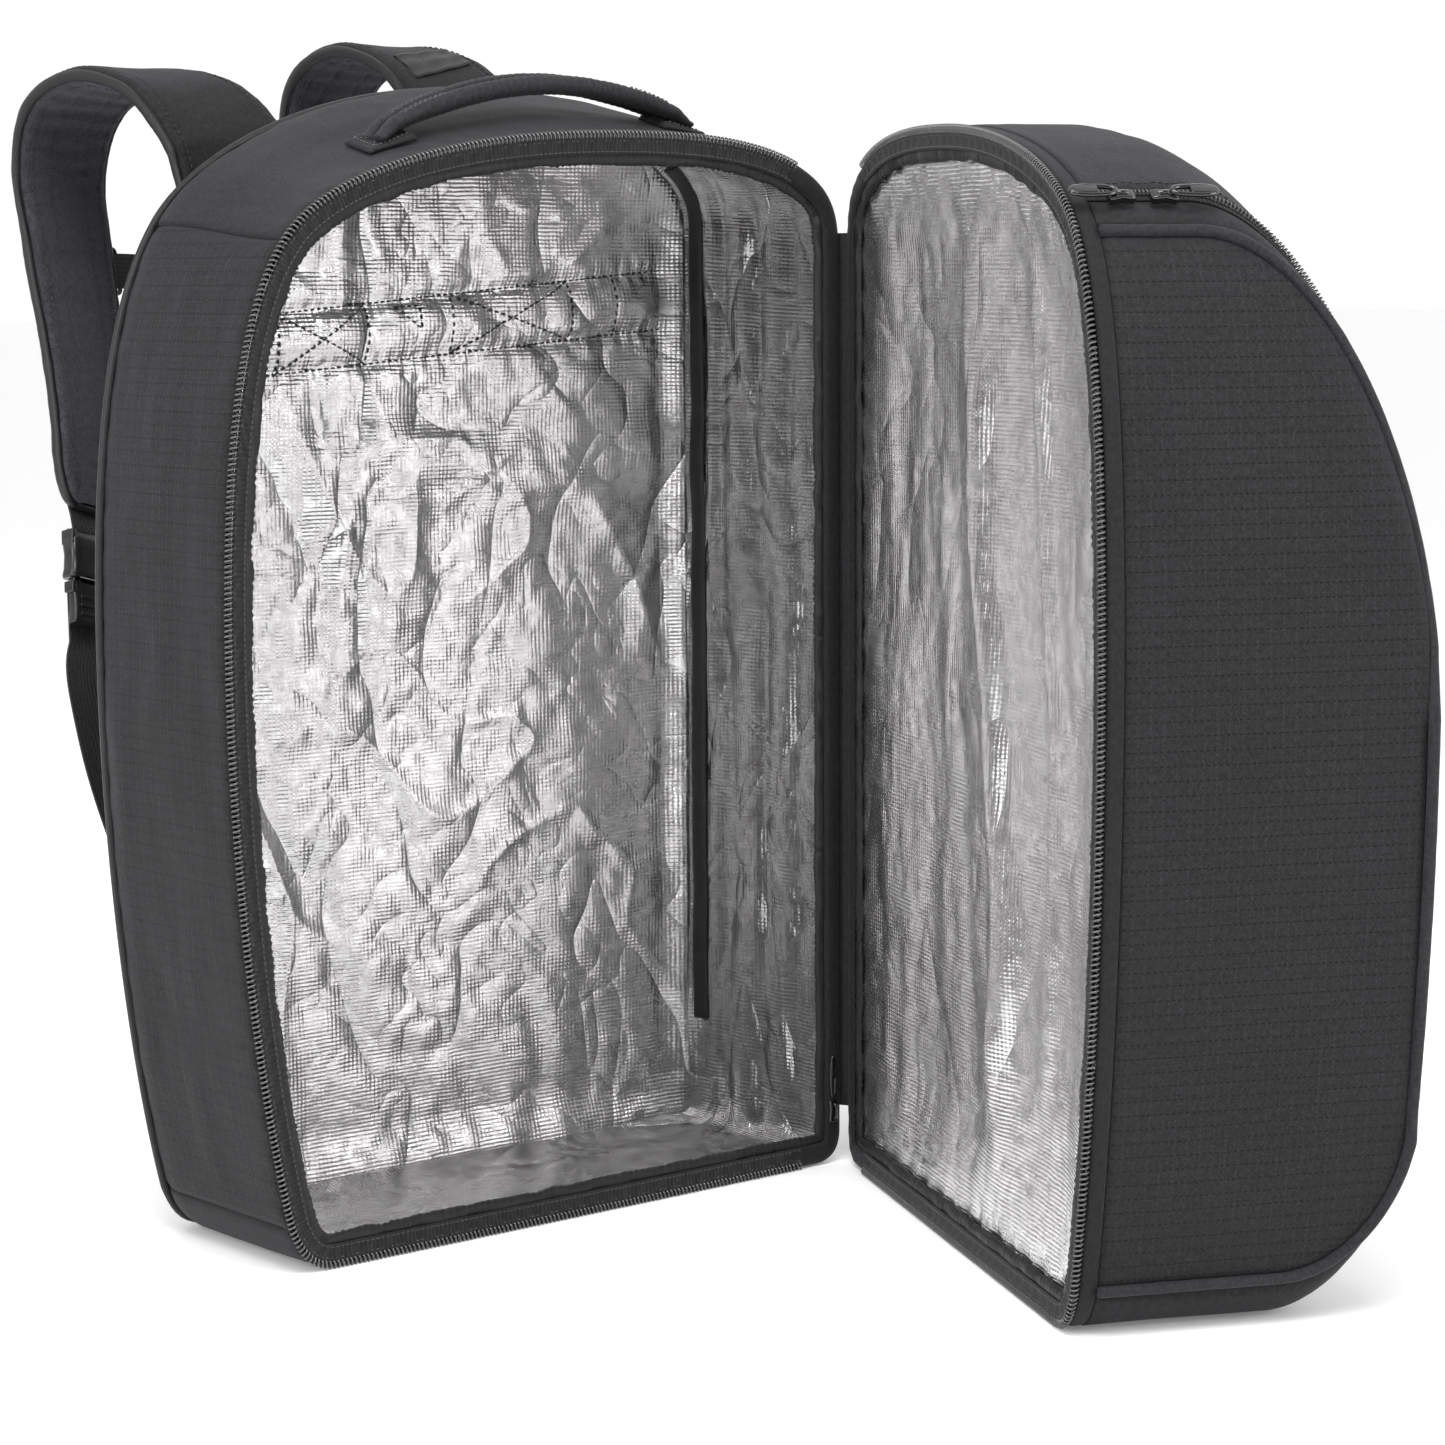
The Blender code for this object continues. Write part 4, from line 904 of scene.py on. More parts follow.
TH = np.linspace(TZ[-1] - 0.010 / LENGTH, TZ[0] + 1 + 0.010 / LENGTH, 330 // RES)
for who, fn, ref, body in (("main", main_P, np.array([0, 10.0, 0.3]), "main_body"), ("door", door_P, DOOR_REF + DN * 10, "door")):
    band(who + "_hinge_facing", fn, TH, [(0.0030, 0.0006), (0.0018, 0.0020), (0.0014, 0.0045), (0.0016, 0.0080), (0.0022, 0.0118)], M_TWILL2, body, (), ref, True, 0.0003, 77, thick=0.0008, closed=False, slot="black_trim")

bm_fix = [o for o in scene.objects if o.name.endswith("_edge_binding")]
for o in bm_fix:
    bm = bmesh.new()
    bm.from_mesh(o.data)
    bmesh.ops.recalc_face_normals(bm, faces=bm.faces)
    bm.to_mesh(o.data)
    bm.free()


# ================================================================ DOOR
def front_edge_w(z):
    return free_w(z) * 1.0


# door side panel at the free edge: from the seam with the rim to the front piping
def door_side(name, t0, t1, mat, replaces, seed, wrinkle=0.0016, free=True):
    T = seg_between(t0 + 0.0006 / LENGTH, t1 - 0.0006 / LENGTH, 0.0035)
    phi = np.linspace(0, 1, 52 // RES)
    D = 0.0120 + (0.1565 - 0.0120) * np.sin(phi * math.pi / 2) ** 1.0
    S = arc(T)[:, None]
    V = D[None] - 0.012
    base = door_P(T[:, None], D[None])
    edge = np.minimum(np.minimum(S, S[-1] - S) + 0 * V, np.minimum(V, V[:, -1:] - V) + 0 * S)
    f = wrinkle * (0.7 * fbm(S * 8, V * 13, seed, 3) + 0.5 * fbm(S * 24, V * 30, seed + 3)) * sstep(edge, 0, 0.03) - seam_roll(edge, 0.0012)
    f = f + 0.0006 * np.sin(S * 2 * math.pi / 0.019 + 3 * fbm(S * 20, 0 * S, seed + 6)) * np.exp(-(V / 0.010)) * sstep(V, 0, 0.002)
    P = door_P(T[:, None], D[None], -f)
    return grid(name, P, V + 0 * S, P[..., 2], mat, "door", replaces, DOOR_REF, thick=0.0018)


door_side("door_side_skin", T_BL, T_TL, M_RIP, ("door_side_panel",), 91)
door_side("door_hinge_skin", T_TR, T_BR, M_RIP, ("door_hinge_panel",), 97, 0.0012)

# rim strip under the coil
band("door_rim_strip", door_P, TF, [(0.0042 + 0.0078 * k, 0.0002 + 0.0007 * abs(k - 0.5)) for k in np.linspace(0, 1, 5)], M_TWILL2, "door", ("door_rim",), DOOR_REF, True, thick=0.0019)


# inner foil panel: broad folds
def door_inner(P, lev):
    rel = P - HINGE
    w, z = rel @ DE, rel[..., 2]
    f = 0.0048 * np.sin(2 * math.pi * (w - 0.02 * vnoise(z * 5, 0 * z, 101)) / 0.165 + 0.8 * fbm(z * 4, 0 * z, 102)) * 0.5
    f += 0.0040 * np.abs(fbm(w * 8, z * 5.0, 103, 3)) + 0.0022 * fbm(w * 30, z * 12, 104, 3)
    # one long fold that wanders down the middle, as cloth sags between its seams
    f += 0.0060 * np.exp(-((w - 0.205 - 0.022 * np.sin(z * 9) - 0.010 * vnoise(z * 12, 0 * z, 105)) / 0.013) ** 2) * sstep(z, 0.03, 0.12) * (1 - sstep(z, 0.40, 0.52))
    f -= 0.0040 * np.exp(-((w - 0.165 - 0.018 * np.sin(z * 8 + 1) - 0.008 * vnoise(z * 12, 0 * z, 106)) / 0.016) ** 2)
    f += 0.0045 * np.exp(-((w - 0.285 + 0.016 * np.sin(z * 11 + 2)) / 0.011) ** 2) * sstep(z, 0.05, 0.16) * (1 - sstep(z, 0.42, 0.54))
    depth = 0.0074 + (0.0050 - f) * sstep(lev[None, :], 0.0, 0.22) - 0.0
    depth = np.clip(depth, -0.0045, 0.0150)
    edge = 0.0010 * np.sin(np.arange(P.shape[0])[:, None] * 0.9 + 2 * fbm(np.arange(P.shape[0])[:, None] * 0.2, 0, 107)) * np.exp(-lev[None, :] / 0.03) * sstep(lev[None, :], 0, 0.01)
    cur = rel @ DN
    return P + DN * (depth + edge - cur)[..., None]


ringD = door_P(np.linspace(0, 1, 520 // RES), 0.0072, 0.0118)
midD = dworld(0.19, 0.0072, 0.285)
LEVD = np.concatenate([np.linspace(0, 0.1, 14 // RES), np.linspace(0.1, 1, 120 // RES)[1:]])
# The door panel uses the foil lightened as painted light.
cap("door_foil", ringD, midD, LEVD, M_FOIL_DOOR_LIT, "door", ("door_inner_panel",), door_inner, DOOR_REF, False, uvfn=lambda P: ((P - HINGE) @ DE, P[..., 2]), thick=0.0009)


# ---------------- the wrapped front of the door: gusset, zip chain, flap and lower panel as one surface, cut in columns
T_STEP = 0.0
LEFT_T = np.linspace(T_BL, T_TL, 600)
lw, lz, _, _ = outline(LEFT_T)


def wrap_point(off, q, lift=0.0):
    """Where a point lies along the wrap's path, q 0..1 running from the top seam forward and down to the bottom seam:
    returns its arc length, whether it is in the top or bottom curve, and the angles there. off is the distance from the
    free edge, in metres; its value is not used beyond the shape of the result.
    """
    q = np.asarray(q, float)
    off = np.asarray(off, float)
    off, q = np.broadcast_arrays(off, q)
    lift = np.broadcast_to(np.asarray(lift, float), q.shape)
    # the path in (d, et) at the top, flat front, path at the bottom
    L1, L2, L3 = 0.205 * 1.25, 0.205, 0.115
    L1 = 0.255
    total = L1 + L2 + L3
    s = q * total
    in_top = s < L1
    in_bot = s > L1 + L2
    phi = np.clip(s / L1, 0, 1) * math.pi / 2
    psi = np.clip((total - s) / L3, 0, 1) * math.pi / 2
    return s, in_top, in_bot, phi, psi


TOP_T = np.linspace(T_TL, T_TR, 400)
tw_, tz_, _, _ = outline(TOP_T)
_order = np.argsort(tw_)
TOPW, TOPZ = tw_[_order], tz_[_order]
BOT_T = np.linspace(T_BR - 1, T_BL, 400)
bw_, bz_, _, _ = outline(BOT_T)
_order = np.argsort(bw_)
BOTW, BOTZ = bw_[_order], bz_[_order]


def wrap_path(w_seam_top, w_seam_bot, n_top, n_flat, n_bot, z_from=None, z_to=None):
    """One column of the wrap: from the top seam at w_seam_top, forward, down the front, and back to the bottom seam."""
    zt = np.interp(w_seam_top, TOPW, TOPZ)
    zb = np.interp(w_seam_bot, BOTW, BOTZ)
    rows = []
    d0 = 0.0125
    for k in np.linspace(0, 1, n_top, endpoint=False):
        if k < 0.16:
            d = d0 + (DOOR_DEPTH - FT_A - d0) * (k / 0.16)
            e = 1.0
        else:
            a = (k - 0.16) / 0.84 * math.pi / 2
            d = DOOR_DEPTH - FT_A + FT_A * math.sin(a)
            e = math.cos(a)
        rows.append((0, d, e))
    for k in np.linspace(0, 1, n_flat, endpoint=False):
        rows.append((1, DOOR_DEPTH, k))
    for k in np.linspace(0, 1, n_bot + 1):
        if k > 0.78:
            d = DOOR_DEPTH - FB_A + (d0 - DOOR_DEPTH + FB_A) * ((k - 0.78) / 0.22)
            e = 1.0
        else:
            a = (1 - k / 0.78) * math.pi / 2
            d = DOOR_DEPTH - FB_A + FB_A * math.sin(a)
            e = math.cos(a)
        rows.append((2, d, e))
    out = []
    for kind, d, e in rows:
        if kind == 0:
            z2 = FT_Z + (zt - FT_Z) * e
            w = w_seam_top * free_w(z2) / free_w(zt) + min(max(free_w(zt) - w_seam_top, 0), 0.0205 * w_seam_top / 0.352) * (1 - e)
        elif kind == 1:
            z2 = FT_Z + (FB_Z - FT_Z) * e
            wa = w_seam_top * free_w(z2) / free_w(zt) + min(max(free_w(zt) - w_seam_top, 0), 0.0205 * w_seam_top / 0.352)
            wb = w_seam_bot * free_w(z2) / free_w(zb)
            w = wa * (1 - e) + wb * e
        else:
            z2 = FB_Z - (FB_Z - zb) * e
            w = w_seam_bot * free_w(z2) / free_w(zb)
        out.append((w, d, z2))
    return np.array(out)


N_TOP, N_FLAT, N_BOT = 96 // RES, 44 // RES, 40 // RES
FREE_TOP_W = 0.352
FREE_BOT_W = 0.3585


def wrap_grid(offs):
    """offs: offsets from the free edge (metres, measured towards the hinge)."""
    cols = []
    for o in offs:
        wt = FREE_TOP_W - o
        wb = FREE_BOT_W - o * 1.0455
        cols.append(wrap_path(max(wt, 0.0105), max(wb, 0.002), N_TOP, N_FLAT, N_BOT))
    return np.array(cols)  # (cols, rows, 3) as (w, d, z)


def to_world(W):
    return dworld(W[..., 0], W[..., 1], W[..., 2])


def normals_of(P):
    a = np.gradient(P, axis=0)
    b = np.gradient(P, axis=1)
    n = np.cross(a, b)
    n /= np.linalg.norm(n, axis=-1)[..., None] + 1e-12
    s = np.sum(n * (P - DOOR_REF))
    return n if s > 0 else -n


def wrap_piece(name, offs, mat, body, replaces, seed, wrinkle, rows=None, thick=0.0018, edge_roll=(1, 1), extra=None, lift=0.0, slot=None):
    W = wrap_grid(offs)
    if rows is not None:
        W = W[:, rows]
    P = to_world(W)
    N = normals_of(P)
    offs = np.asarray(offs)
    U = (offs - offs[0])[:, None] + 0 * W[..., 0]
    V = np.concatenate([[0], np.cumsum(np.linalg.norm(np.diff(P[len(offs) // 2], axis=0), axis=1))])[None] + 0 * U
    d1, d2 = U, (offs[-1] - offs[0]) - U
    e1, e2 = V, V.max() - V
    edge = np.minimum(np.minimum(d1, d2), np.minimum(e1, e2))
    f = wrinkle * (0.6 * fbm(U * 9, V * 7, seed, 3) + 0.45 * fbm(U * 26 + V * 8, V * 18, seed + 3, 3)) * sstep(edge, 0, 0.02)
    f = f - seam_roll(np.where(edge_roll[0], d1, 1), 0.0012, 0.005) - seam_roll(np.where(edge_roll[1], d2, 1), 0.0012, 0.005)
    if extra is not None:
        f = f + extra(U, V, W)
    P = P + N * (f + lift)[..., None]
    return grid(name, P, U, V, mat, body, replaces, DOOR_REF, thick=thick, slot=slot), P, N, W


ALL_ROWS = N_TOP + N_FLAT + N_BOT + 1
mid_row = N_TOP
# which row is the flap's lower edge
colw = wrap_path(FREE_TOP_W - 0.10, FREE_BOT_W - 0.10, N_TOP, N_FLAT, N_BOT)
flap_end = int(np.argmax(colw[:, 2] < FLAP_Z + 0.001))
zip_end = flap_end

o_gus = np.linspace(0.0022, 0.0146, 7)
wrap_piece("helmet_side_gusset", o_gus, M_TWILL, "door", ("helmet_gusset",), 111, 0.0005, rows=slice(0, flap_end + 1))
o_flap = np.concatenate([np.linspace(0.0222, 0.04, 8), np.linspace(0.04, 0.3405, 92 // RES)[1:]])


def flap_extra(U, V, W):
    # hem with gathers along the zip
    g = 0.0008 * np.sin(V * 2 * math.pi / 0.016 + 4 * fbm(V * 18, 0 * V, 121)) * np.exp(-U / 0.008) * sstep(U, 0, 0.0015)
    sag = 0.0050 * np.sin(np.pi * np.clip(U / U.max(), 0, 1)) * np.exp(-((W[..., 2] - 0.24) / 0.14) ** 2)
    return g + sag


_, FP, FN, FW = wrap_piece("helmet_flap_skin", o_flap, M_TWILL, "helmet_flap", ("helmet_flap",), 123, 0.0026, rows=slice(0, flap_end + 1), extra=flap_extra)


def low_extra(U, V, W):
    return -seam_roll(V, 0.0012, 0.005)


low_offs = np.linspace(0.0012, 0.3405, 96 // RES)
wrap_piece("door_lower_skin", low_offs, M_TWILL, "door", ("door_bottom_panel",), 131, 0.0012, rows=slice(flap_end, ALL_ROWS), extra=low_extra)

# welt along the hinge-side seam of the wrap
Wh = to_world(wrap_grid([0.3400, 0.3418])[1])
Wh = resample(Wh[1:-1], 300 // RES)
out_h = Wh - (HINGE + DE * 0.2 + DN * 0.06 + ZUP * 0.27)
out_h /= np.linalg.norm(out_h, axis=1)[:, None]
sweep("door_hinge_welt", Wh - out_h * 0.0008, out_h, circle(0.0026, 10), M_TUBE, "door", (), slot="black_trim")

# stitched seam between flap and lower panel
row = FP[:, -3]
nn = FN[:, -3]
stitches("flap_seam_stitch", [(row[2:-2] + nn[2:-2] * 0.0002, nn[2:-2])], "helmet_flap", M_THREAD, 0.0036, 0.0027, 0.0003)
stitches("flap_edge_stitch", [(FP[2, 4:-3] + FN[2, 4:-3] * 0.0001, FN[2, 4:-3])], "helmet_flap", M_THREAD, 0.0036, 0.0027, 0.0003)

# helmet zip: tape strips each side of a closed chain
tape_rows_ = slice(0, flap_end + 1)
wrap_piece("helmet_zip_tape_a", np.linspace(0.0150, 0.0176, 4), M_TAPE, "door", ("helmet_zip_chain",), 141, 0.0, rows=tape_rows_, thick=0.0009, edge_roll=(0, 0), lift=-0.0004, slot="black_trim")
wrap_piece("helmet_zip_tape_b", np.linspace(0.0186, 0.0212, 4), M_TAPE, "door", (), 142, 0.0, rows=tape_rows_, thick=0.0009, edge_roll=(0, 0), lift=-0.0004, slot="black_trim")
Wc = to_world(wrap_grid([0.0171, 0.0181, 0.0191])[:, tape_rows_])
Nc = normals_of(Wc)
chain_line = Wc[1] + Nc[1] * 0.0003
coil("helmet_zip_coil", chain_line, Nc[1], "door", (), pitch=0.0019, r=0.0019, wire=0.00042, flat=0.55)

# welt round the side panel
T = np.linspace(T_TL, T_TL, 2)
dd = np.concatenate([0.0125 + (0.0580 - 0.0125) * np.linspace(0, 1, 10, endpoint=False), DOOR_DEPTH - FT_A + (FT_A - 0.0010) * np.sin(np.linspace(0, math.pi / 2, 60))])
w1, z1 = door_wz(np.full(len(dd), T_TL), e_top(dd), e_bot(dd))
up = np.stack([w1, np.minimum(dd, 0.1588), z1], 1)
zz = np.linspace(FT_Z, FB_Z, 24)
mid_e = np.stack([free_w(zz), np.full(24, 0.1588), zz], 1)
dd2 = dd[::-1]
w2, z2 = door_wz(np.full(len(dd2), T_BL), e_top(dd2), e_bot(dd2))
keep = z2 < FB_Z - 0.0005
dn = np.stack([w2, np.minimum(dd2, 0.1588), z2], 1)
lowd = np.concatenate([DOOR_DEPTH - FB_A + (FB_A - 0.0010) * np.sin(np.linspace(math.pi / 2, 0, 36)), np.linspace(DOOR_DEPTH - FB_A, 0.0125, 10)])
w2, z2 = door_wz(np.full(len(lowd), T_BL), e_top(lowd), e_bot(lowd))
dn = np.stack([w2, np.minimum(lowd, 0.1588), z2], 1)
pipe = to_world(np.vstack([up[up[:, 2] > FT_Z + 0.001], mid_e, dn[dn[:, 2] < FB_Z - 0.001]]))
pipe = resample(pipe, 420 // RES)
pipe_out = pipe - (HINGE + DE * 0.2 + DN * 0.05 + ZUP * 0.27)
pipe_out /= np.linalg.norm(pipe_out, axis=1)[:, None]
sel = np.linspace(0, 1, len(pipe))
pr = 0.00275 * (1 + 0.03 * vnoise(sel * 90, 0 * sel, 151))
ang = np.linspace(0, 2 * math.pi, 12, endpoint=False)
sect = np.stack([pr[:, None] * np.cos(ang), pr[:, None] * np.sin(ang)], -1)
sweep("door_side_welt", pipe + pipe_out * 0.0006, pipe_out, sect, M_TUBE, "door", ("door_side_piping",), slot="black_trim")


# ---------------------------------------------------------------- boxes with rounded edges
def block(name, centre, x, y, z, half, mat, body, replaces=(), bevel=None, taper=None, sub=0):
    """A shaped block: half sizes along x, y, z with rounded edges; taper(points) reshapes it in local metres."""
    bm = bmesh.new()
    bmesh.ops.create_cube(bm, size=2)
    for v in bm.verts:
        v.co = Vector((v.co.x * half[0], v.co.y * half[1], v.co.z * half[2]))
    if sub:
        bmesh.ops.subdivide_edges(bm, edges=bm.edges[:], cuts=sub, use_grid_fill=True)
    bv = bevel if bevel is not None else min(half) * 0.55
    sharp = [e for e in bm.edges if len(e.link_faces) == 2 and e.calc_face_angle(0) > 0.5]
    bmesh.ops.bevel(bm, geom=sharp, offset=bv, segments=4, profile=0.5, affect="EDGES")
    pts = np.array([v.co for v in bm.verts])
    if taper is not None:
        pts = taper(pts)
    x, y, z = (np.asarray(k, float) / np.linalg.norm(k) for k in (x, y, z))
    world = np.asarray(centre) + pts[:, :1] * x + pts[:, 1:2] * y + pts[:, 2:] * z
    for v, c in zip(bm.verts, world):
        v.co = Vector(c)
    if np.dot(np.cross(x, y), z) < 0:
        bmesh.ops.reverse_faces(bm, faces=bm.faces)
    mesh = bpy.data.meshes.new(name)
    bm.to_mesh(mesh)
    bm.free()
    mesh.materials.append(mat)
    mesh.polygons.foreach_set("use_smooth", np.ones(len(mesh.polygons), bool))
    layer = mesh.uv_layers.new(name="metres")
    loops = np.empty(len(mesh.loops), np.int32)
    mesh.loops.foreach_get("vertex_index", loops)
    layer.data.foreach_set("uv", np.stack([pts[loops, 0], pts[loops, 1] + pts[loops, 2]], 1).astype(np.float32).ravel())
    obj = bpy.data.objects.new(name, mesh)
    scene.collection.objects.link(obj)
    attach(obj, body)
    if replaces:
        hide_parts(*replaces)
    return obj


def ring_loop(name, path, side, r, mat, body, replaces=(), slot=None, m=8, ry=None):
    return sweep(name, path, side, circle(r, m, ry), mat, body, replaces, caps=False, closed=True, slot=slot)


def unit(v):
    v = np.asarray(v, float)
    return v / np.linalg.norm(v)


# ---------------- helmet zip sliders and pulls
T_SL = T_TL + 0.0174 / LENGTH
_, _, nw_, nz_ = outline(T_SL)
UP = unit(DE * float(nw_) + np.array([0, 0, float(nz_)]))
ACROSS = np.cross(DN, UP)


def on_zip(d, lift):
    w, z, _, _ = outline(T_SL, -lift)
    return dworld(float(w), d, float(z))


for tag, d, sgn in (("a", 0.026, -1), ("b", 0.046, 1)):
    c = on_zip(d, 0.0036)

    def shape(p, sgn=sgn):
        p = p.copy()
        waist = 1 - 0.30 * np.exp(-((p[:, 1] - sgn * 0.0005) / 0.0022) ** 2) * (np.abs(p[:, 0]) > 0.001)
        p[:, 0] *= waist * (1 - 0.22 * np.clip(-sgn * p[:, 1] / 0.0058, 0, 1))
        p[:, 2] += 0.0006 * np.cos(p[:, 1] / 0.0058 * 1.4)
        return p
    block("helmet_slider_%s_body" % tag, c, ACROSS, DN, UP, (0.0038, 0.0062, 0.0021), M_GLOSS, "helmet_slider_" + tag, ("helmet_slider_" + tag,), 0.0010, shape, sub=3)
    # bail over the slider
    a = np.linspace(0, math.pi, 18)
    arch = c + DN * (np.cos(a) * 0.0040)[:, None] + UP * (0.0008 + np.sin(a) * 0.0022)[:, None]
    sweep("helmet_slider_%s_bail" % tag, arch, ACROSS, circle(0.0011, 8, 0.0009), M_GLOSS, "helmet_slider_" + tag, slot="zip_metal")
    # wire loop pull
    pc = on_zip(d + sgn * 0.0138, 0.0074)
    a = np.linspace(0, 2 * math.pi, 49)[:-1]
    lw_ = 0.0031 * np.sign(np.cos(a)) * np.abs(np.cos(a)) ** 0.7
    ll_ = 0.0104 * np.sign(np.sin(a)) * np.abs(np.sin(a)) ** 0.8
    width = np.where(ll_ * sgn < 0, 0.62, 1.0)
    loop = pc + ACROSS * (lw_ * (0.8 + 0.2 * width))[:, None] + DN * ll_[:, None]
    ring_loop("helmet_pull_%s_loop" % tag, loop, UP, 0.00115, M_GLOSS, "helmet_pull_" + tag, ("helmet_pull_" + tag,), "zip_metal")
    # grip sleeve on the loop's outer end
    gc = pc + DN * (sgn * 0.0040)
    block("helmet_pull_%s_grip" % tag, gc, ACROSS, DN, UP, (0.0026, 0.0060, 0.0012), M_GLOSS, "helmet_pull_" + tag, (), 0.0006, None, sub=1)

# ---------------- main slider and pull by the bottom hinge corner
c = main_P(T_BR, 0.0022, 0.0066) + np.array([0, 0, 0.010])
block("main_slider_body", c, (1, 0, 0), (0, 1, 0), (0, 0, 1), (0.0030, 0.0017, 0.0060), M_GLOSS, "main_body", ("main_slider",), 0.0010, lambda p: p * np.array([1, 1, 1]) * (1 - 0.25 * np.exp(-((p[:, 2:3] - 0.001) / 0.002) ** 2) * np.array([1, 0, 0])), sub=3)
a = np.linspace(0, math.pi, 16)
arch = c + np.array([0, -0.0016, 0.0]) + ZUP * (np.cos(a) * 0.0040)[:, None] + np.array([0, -1, 0]) * (np.sin(a) * 0.0016)[:, None]
sweep("main_slider_bail", arch, (1, 0, 0), circle(0.0007), M_GLOSS, "main_body", slot="zip_metal")
pc = main_P(T_BR, 0.0016, 0.0066) + np.array([0, 0, 0.0290])
a = np.linspace(0, 2 * math.pi, 41)[:-1]
loop = pc + np.array([1.0, 0, 0]) * (0.0015 * np.sign(np.cos(a)) * np.abs(np.cos(a)) ** 0.7)[:, None] + ZUP * (0.0108 * np.sign(np.sin(a)) * np.abs(np.sin(a)) ** 0.8)[:, None]
ring_loop("main_pull_loop", loop, (0, 1, 0), 0.0007, M_GLOSS, "main_pull", ("main_pull",), "zip_metal")
block("main_pull_grip", pc + ZUP * 0.0045, (1, 0, 0), (0, 1, 0), (0, 0, 1), (0.0014, 0.0007, 0.0058), M_GLOSS, "main_pull", (), 0.0005, None, sub=1)

# ================================================================ HANDLE
HA, HB = np.array([-0.085, -0.036, 0.55406]), np.array([0.083, -0.036, 0.56277])
N_H = 150 // RES
line = main_P(np.linspace(T_TL - 0.03, T_TR, 900), -0.036 - HINGE_Y)
_o = np.argsort(line[:, 0])
TOP_X, TOP_Z = line[_o, 0], line[_o, 2]
f = np.linspace(-0.085, 1.085, N_H)
fc = np.clip(f, 0, 1)
arch_ = np.sin(np.pi * fc)
outside = np.maximum(np.maximum(-f, f - 1), 0) / 0.085
for tag, sgn, node in (("front", -1, "handle_tube_front"), ("back", 1, "handle_tube_back")):
    path = HA + (HB - HA) * f[:, None]
    path[:, 1] += sgn * (0.0056 * (0.96 + 0.25 * arch_))
    path[:, 2] += 0.016 * arch_ ** 0.85 + sgn * 0.0008 * arch_
    down = sstep(outside)
    path[:, 2] = path[:, 2] * (1 - down) + (np.interp(path[:, 0], TOP_X, TOP_Z) + 0.0034) * down
    ang = np.linspace(0, 2 * math.pi, 18, endpoint=False)
    flat = 1 - 0.62 * np.exp(-np.clip(np.minimum(f, 1 - f) + 0.085, 0, 1) / 0.075)
    lump = 1 + 0.045 * fbm(f[:, None] * 26, np.cos(ang)[None] * 1.2, 161 + sgn) + 0.030 * np.sin(f[:, None] * 2 * math.pi * 38)
    r = 0.0049 * lump
    sect = np.stack([r * np.cos(ang), r * flat[:, None] * np.sin(ang)], -1)
    ridge = np.exp(-((np.angle(np.exp(1j * (ang - 1.2 * sgn - 1.2)))) / 0.25) ** 2)
    sect = sect * (1 + 0.14 * ridge)[None, :, None]
    sweep("handle_roll_" + tag, path, (0, 1, 0), sect, M_TUBE, "grab_handle", (node,), slot="webbing")
    rr = path + np.array([0, 0, 1]) * 0.0050 * flat[:, None]
    for k0, k1 in ((0.0, 0.16), (0.84, 1.0)):
        seg = (f >= k0) & (f <= k1)
        for dy in (-0.0020, 0.0020):
            stitches("handle_stitch_%s_%d_%d" % (tag, int(k0 * 100), int(dy * 10000) + 50), [(rr[seg] + np.array([0, dy, -0.0002]), np.broadcast_to(ZUP, rr[seg].shape))], "grab_handle", M_THREAD2, 0.0030, 0.0021, 0.00034)

for tag, end, sx in (("left", HA, -1), ("right", HB, 1)):
    xs = np.linspace(end[0] - sx * 0.006, end[0] + sx * 0.0225, 22)
    ys = np.linspace(-0.0112, 0.0112, 20)
    dome_T = np.linspace(T_TL - 0.03, T_TR, 500)
    Pp = np.zeros((len(xs), len(ys), 3))
    for j, dy in enumerate(ys):
        line = main_P(dome_T, -0.036 + dy - HINGE_Y)
        o_ = np.argsort(line[:, 0])
        Pp[:, j, 0], Pp[:, j, 1] = xs, -0.036 + dy
        Pp[:, j, 2] = np.interp(xs, line[o_, 0], line[o_, 2])
    q = np.linspace(0, 1, len(xs))[:, None]
    e = np.minimum(np.minimum(q, 1 - q) * 0.0285, 0.0112 - np.abs(ys)[None])
    Pp[..., 2] += 0.0016 + 0.0030 * np.exp(-(q / 0.42) ** 2) * (0.65 + 0.35 * np.cos(ys / 0.0056 * math.pi)[None]) * sstep(e, 0, 0.003) + 0.0014 * sstep(e, 0, 0.0016)
    grid("handle_patch_" + tag, Pp, (q * 0.0285) + 0 * ys[None], ys[None] + 0 * q, M_TWILL, "main_body", ("handle_anchor_" + tag,), MAIN_REF, True, thick=0.0014, slot="webbing")
    inner_ = Pp + ZUP * 0.0002
    ring_ = [inner_[3:-3, 2], inner_[3:-3, -3], inner_[-4, 2:-2], inner_[7, 2:-2]]
    runs = [(p, np.broadcast_to(ZUP, p.shape)) for p in ring_]
    d1 = np.array([inner_[7 + int(k * 11), 2 + int(k * 15)] for k in np.linspace(0, 1, 12)])
    d2 = np.array([inner_[7 + int(k * 11), 17 - int(k * 15)] for k in np.linspace(0, 1, 12)])
    runs += [(d1, np.broadcast_to(ZUP, d1.shape)), (d2, np.broadcast_to(ZUP, d2.shape))]
    stitches("handle_patch_stitch_" + tag, runs, "main_body", M_THREAD2, 0.0026, 0.0019, 0.0003)

# ================================================================ STRAPS
LEFT_PTS = [(-0.100, 0.0765, 0.5200), (-0.106, 0.0860, 0.5500), (-0.119, 0.1080, 0.5740), (-0.133, 0.1400, 0.5800), (-0.1430, 0.1680, 0.5660), (-0.1460, 0.1800, 0.5350), (-0.1435, 0.1780, 0.4950), (-0.1430, 0.1690, 0.4500), (-0.1480, 0.1560, 0.3950), (-0.1545, 0.1450, 0.3600)]
SHIFT = 0.170
RIGHT_PTS = [(x + SHIFT - (0.012 * (1 - f_)), y, z + 0.018 * math.sin(math.pi * min(f_ * 1.3, 1.0))) for (x, y, z), f_ in zip(LEFT_PTS, np.linspace(0, 1, len(LEFT_PTS)))]


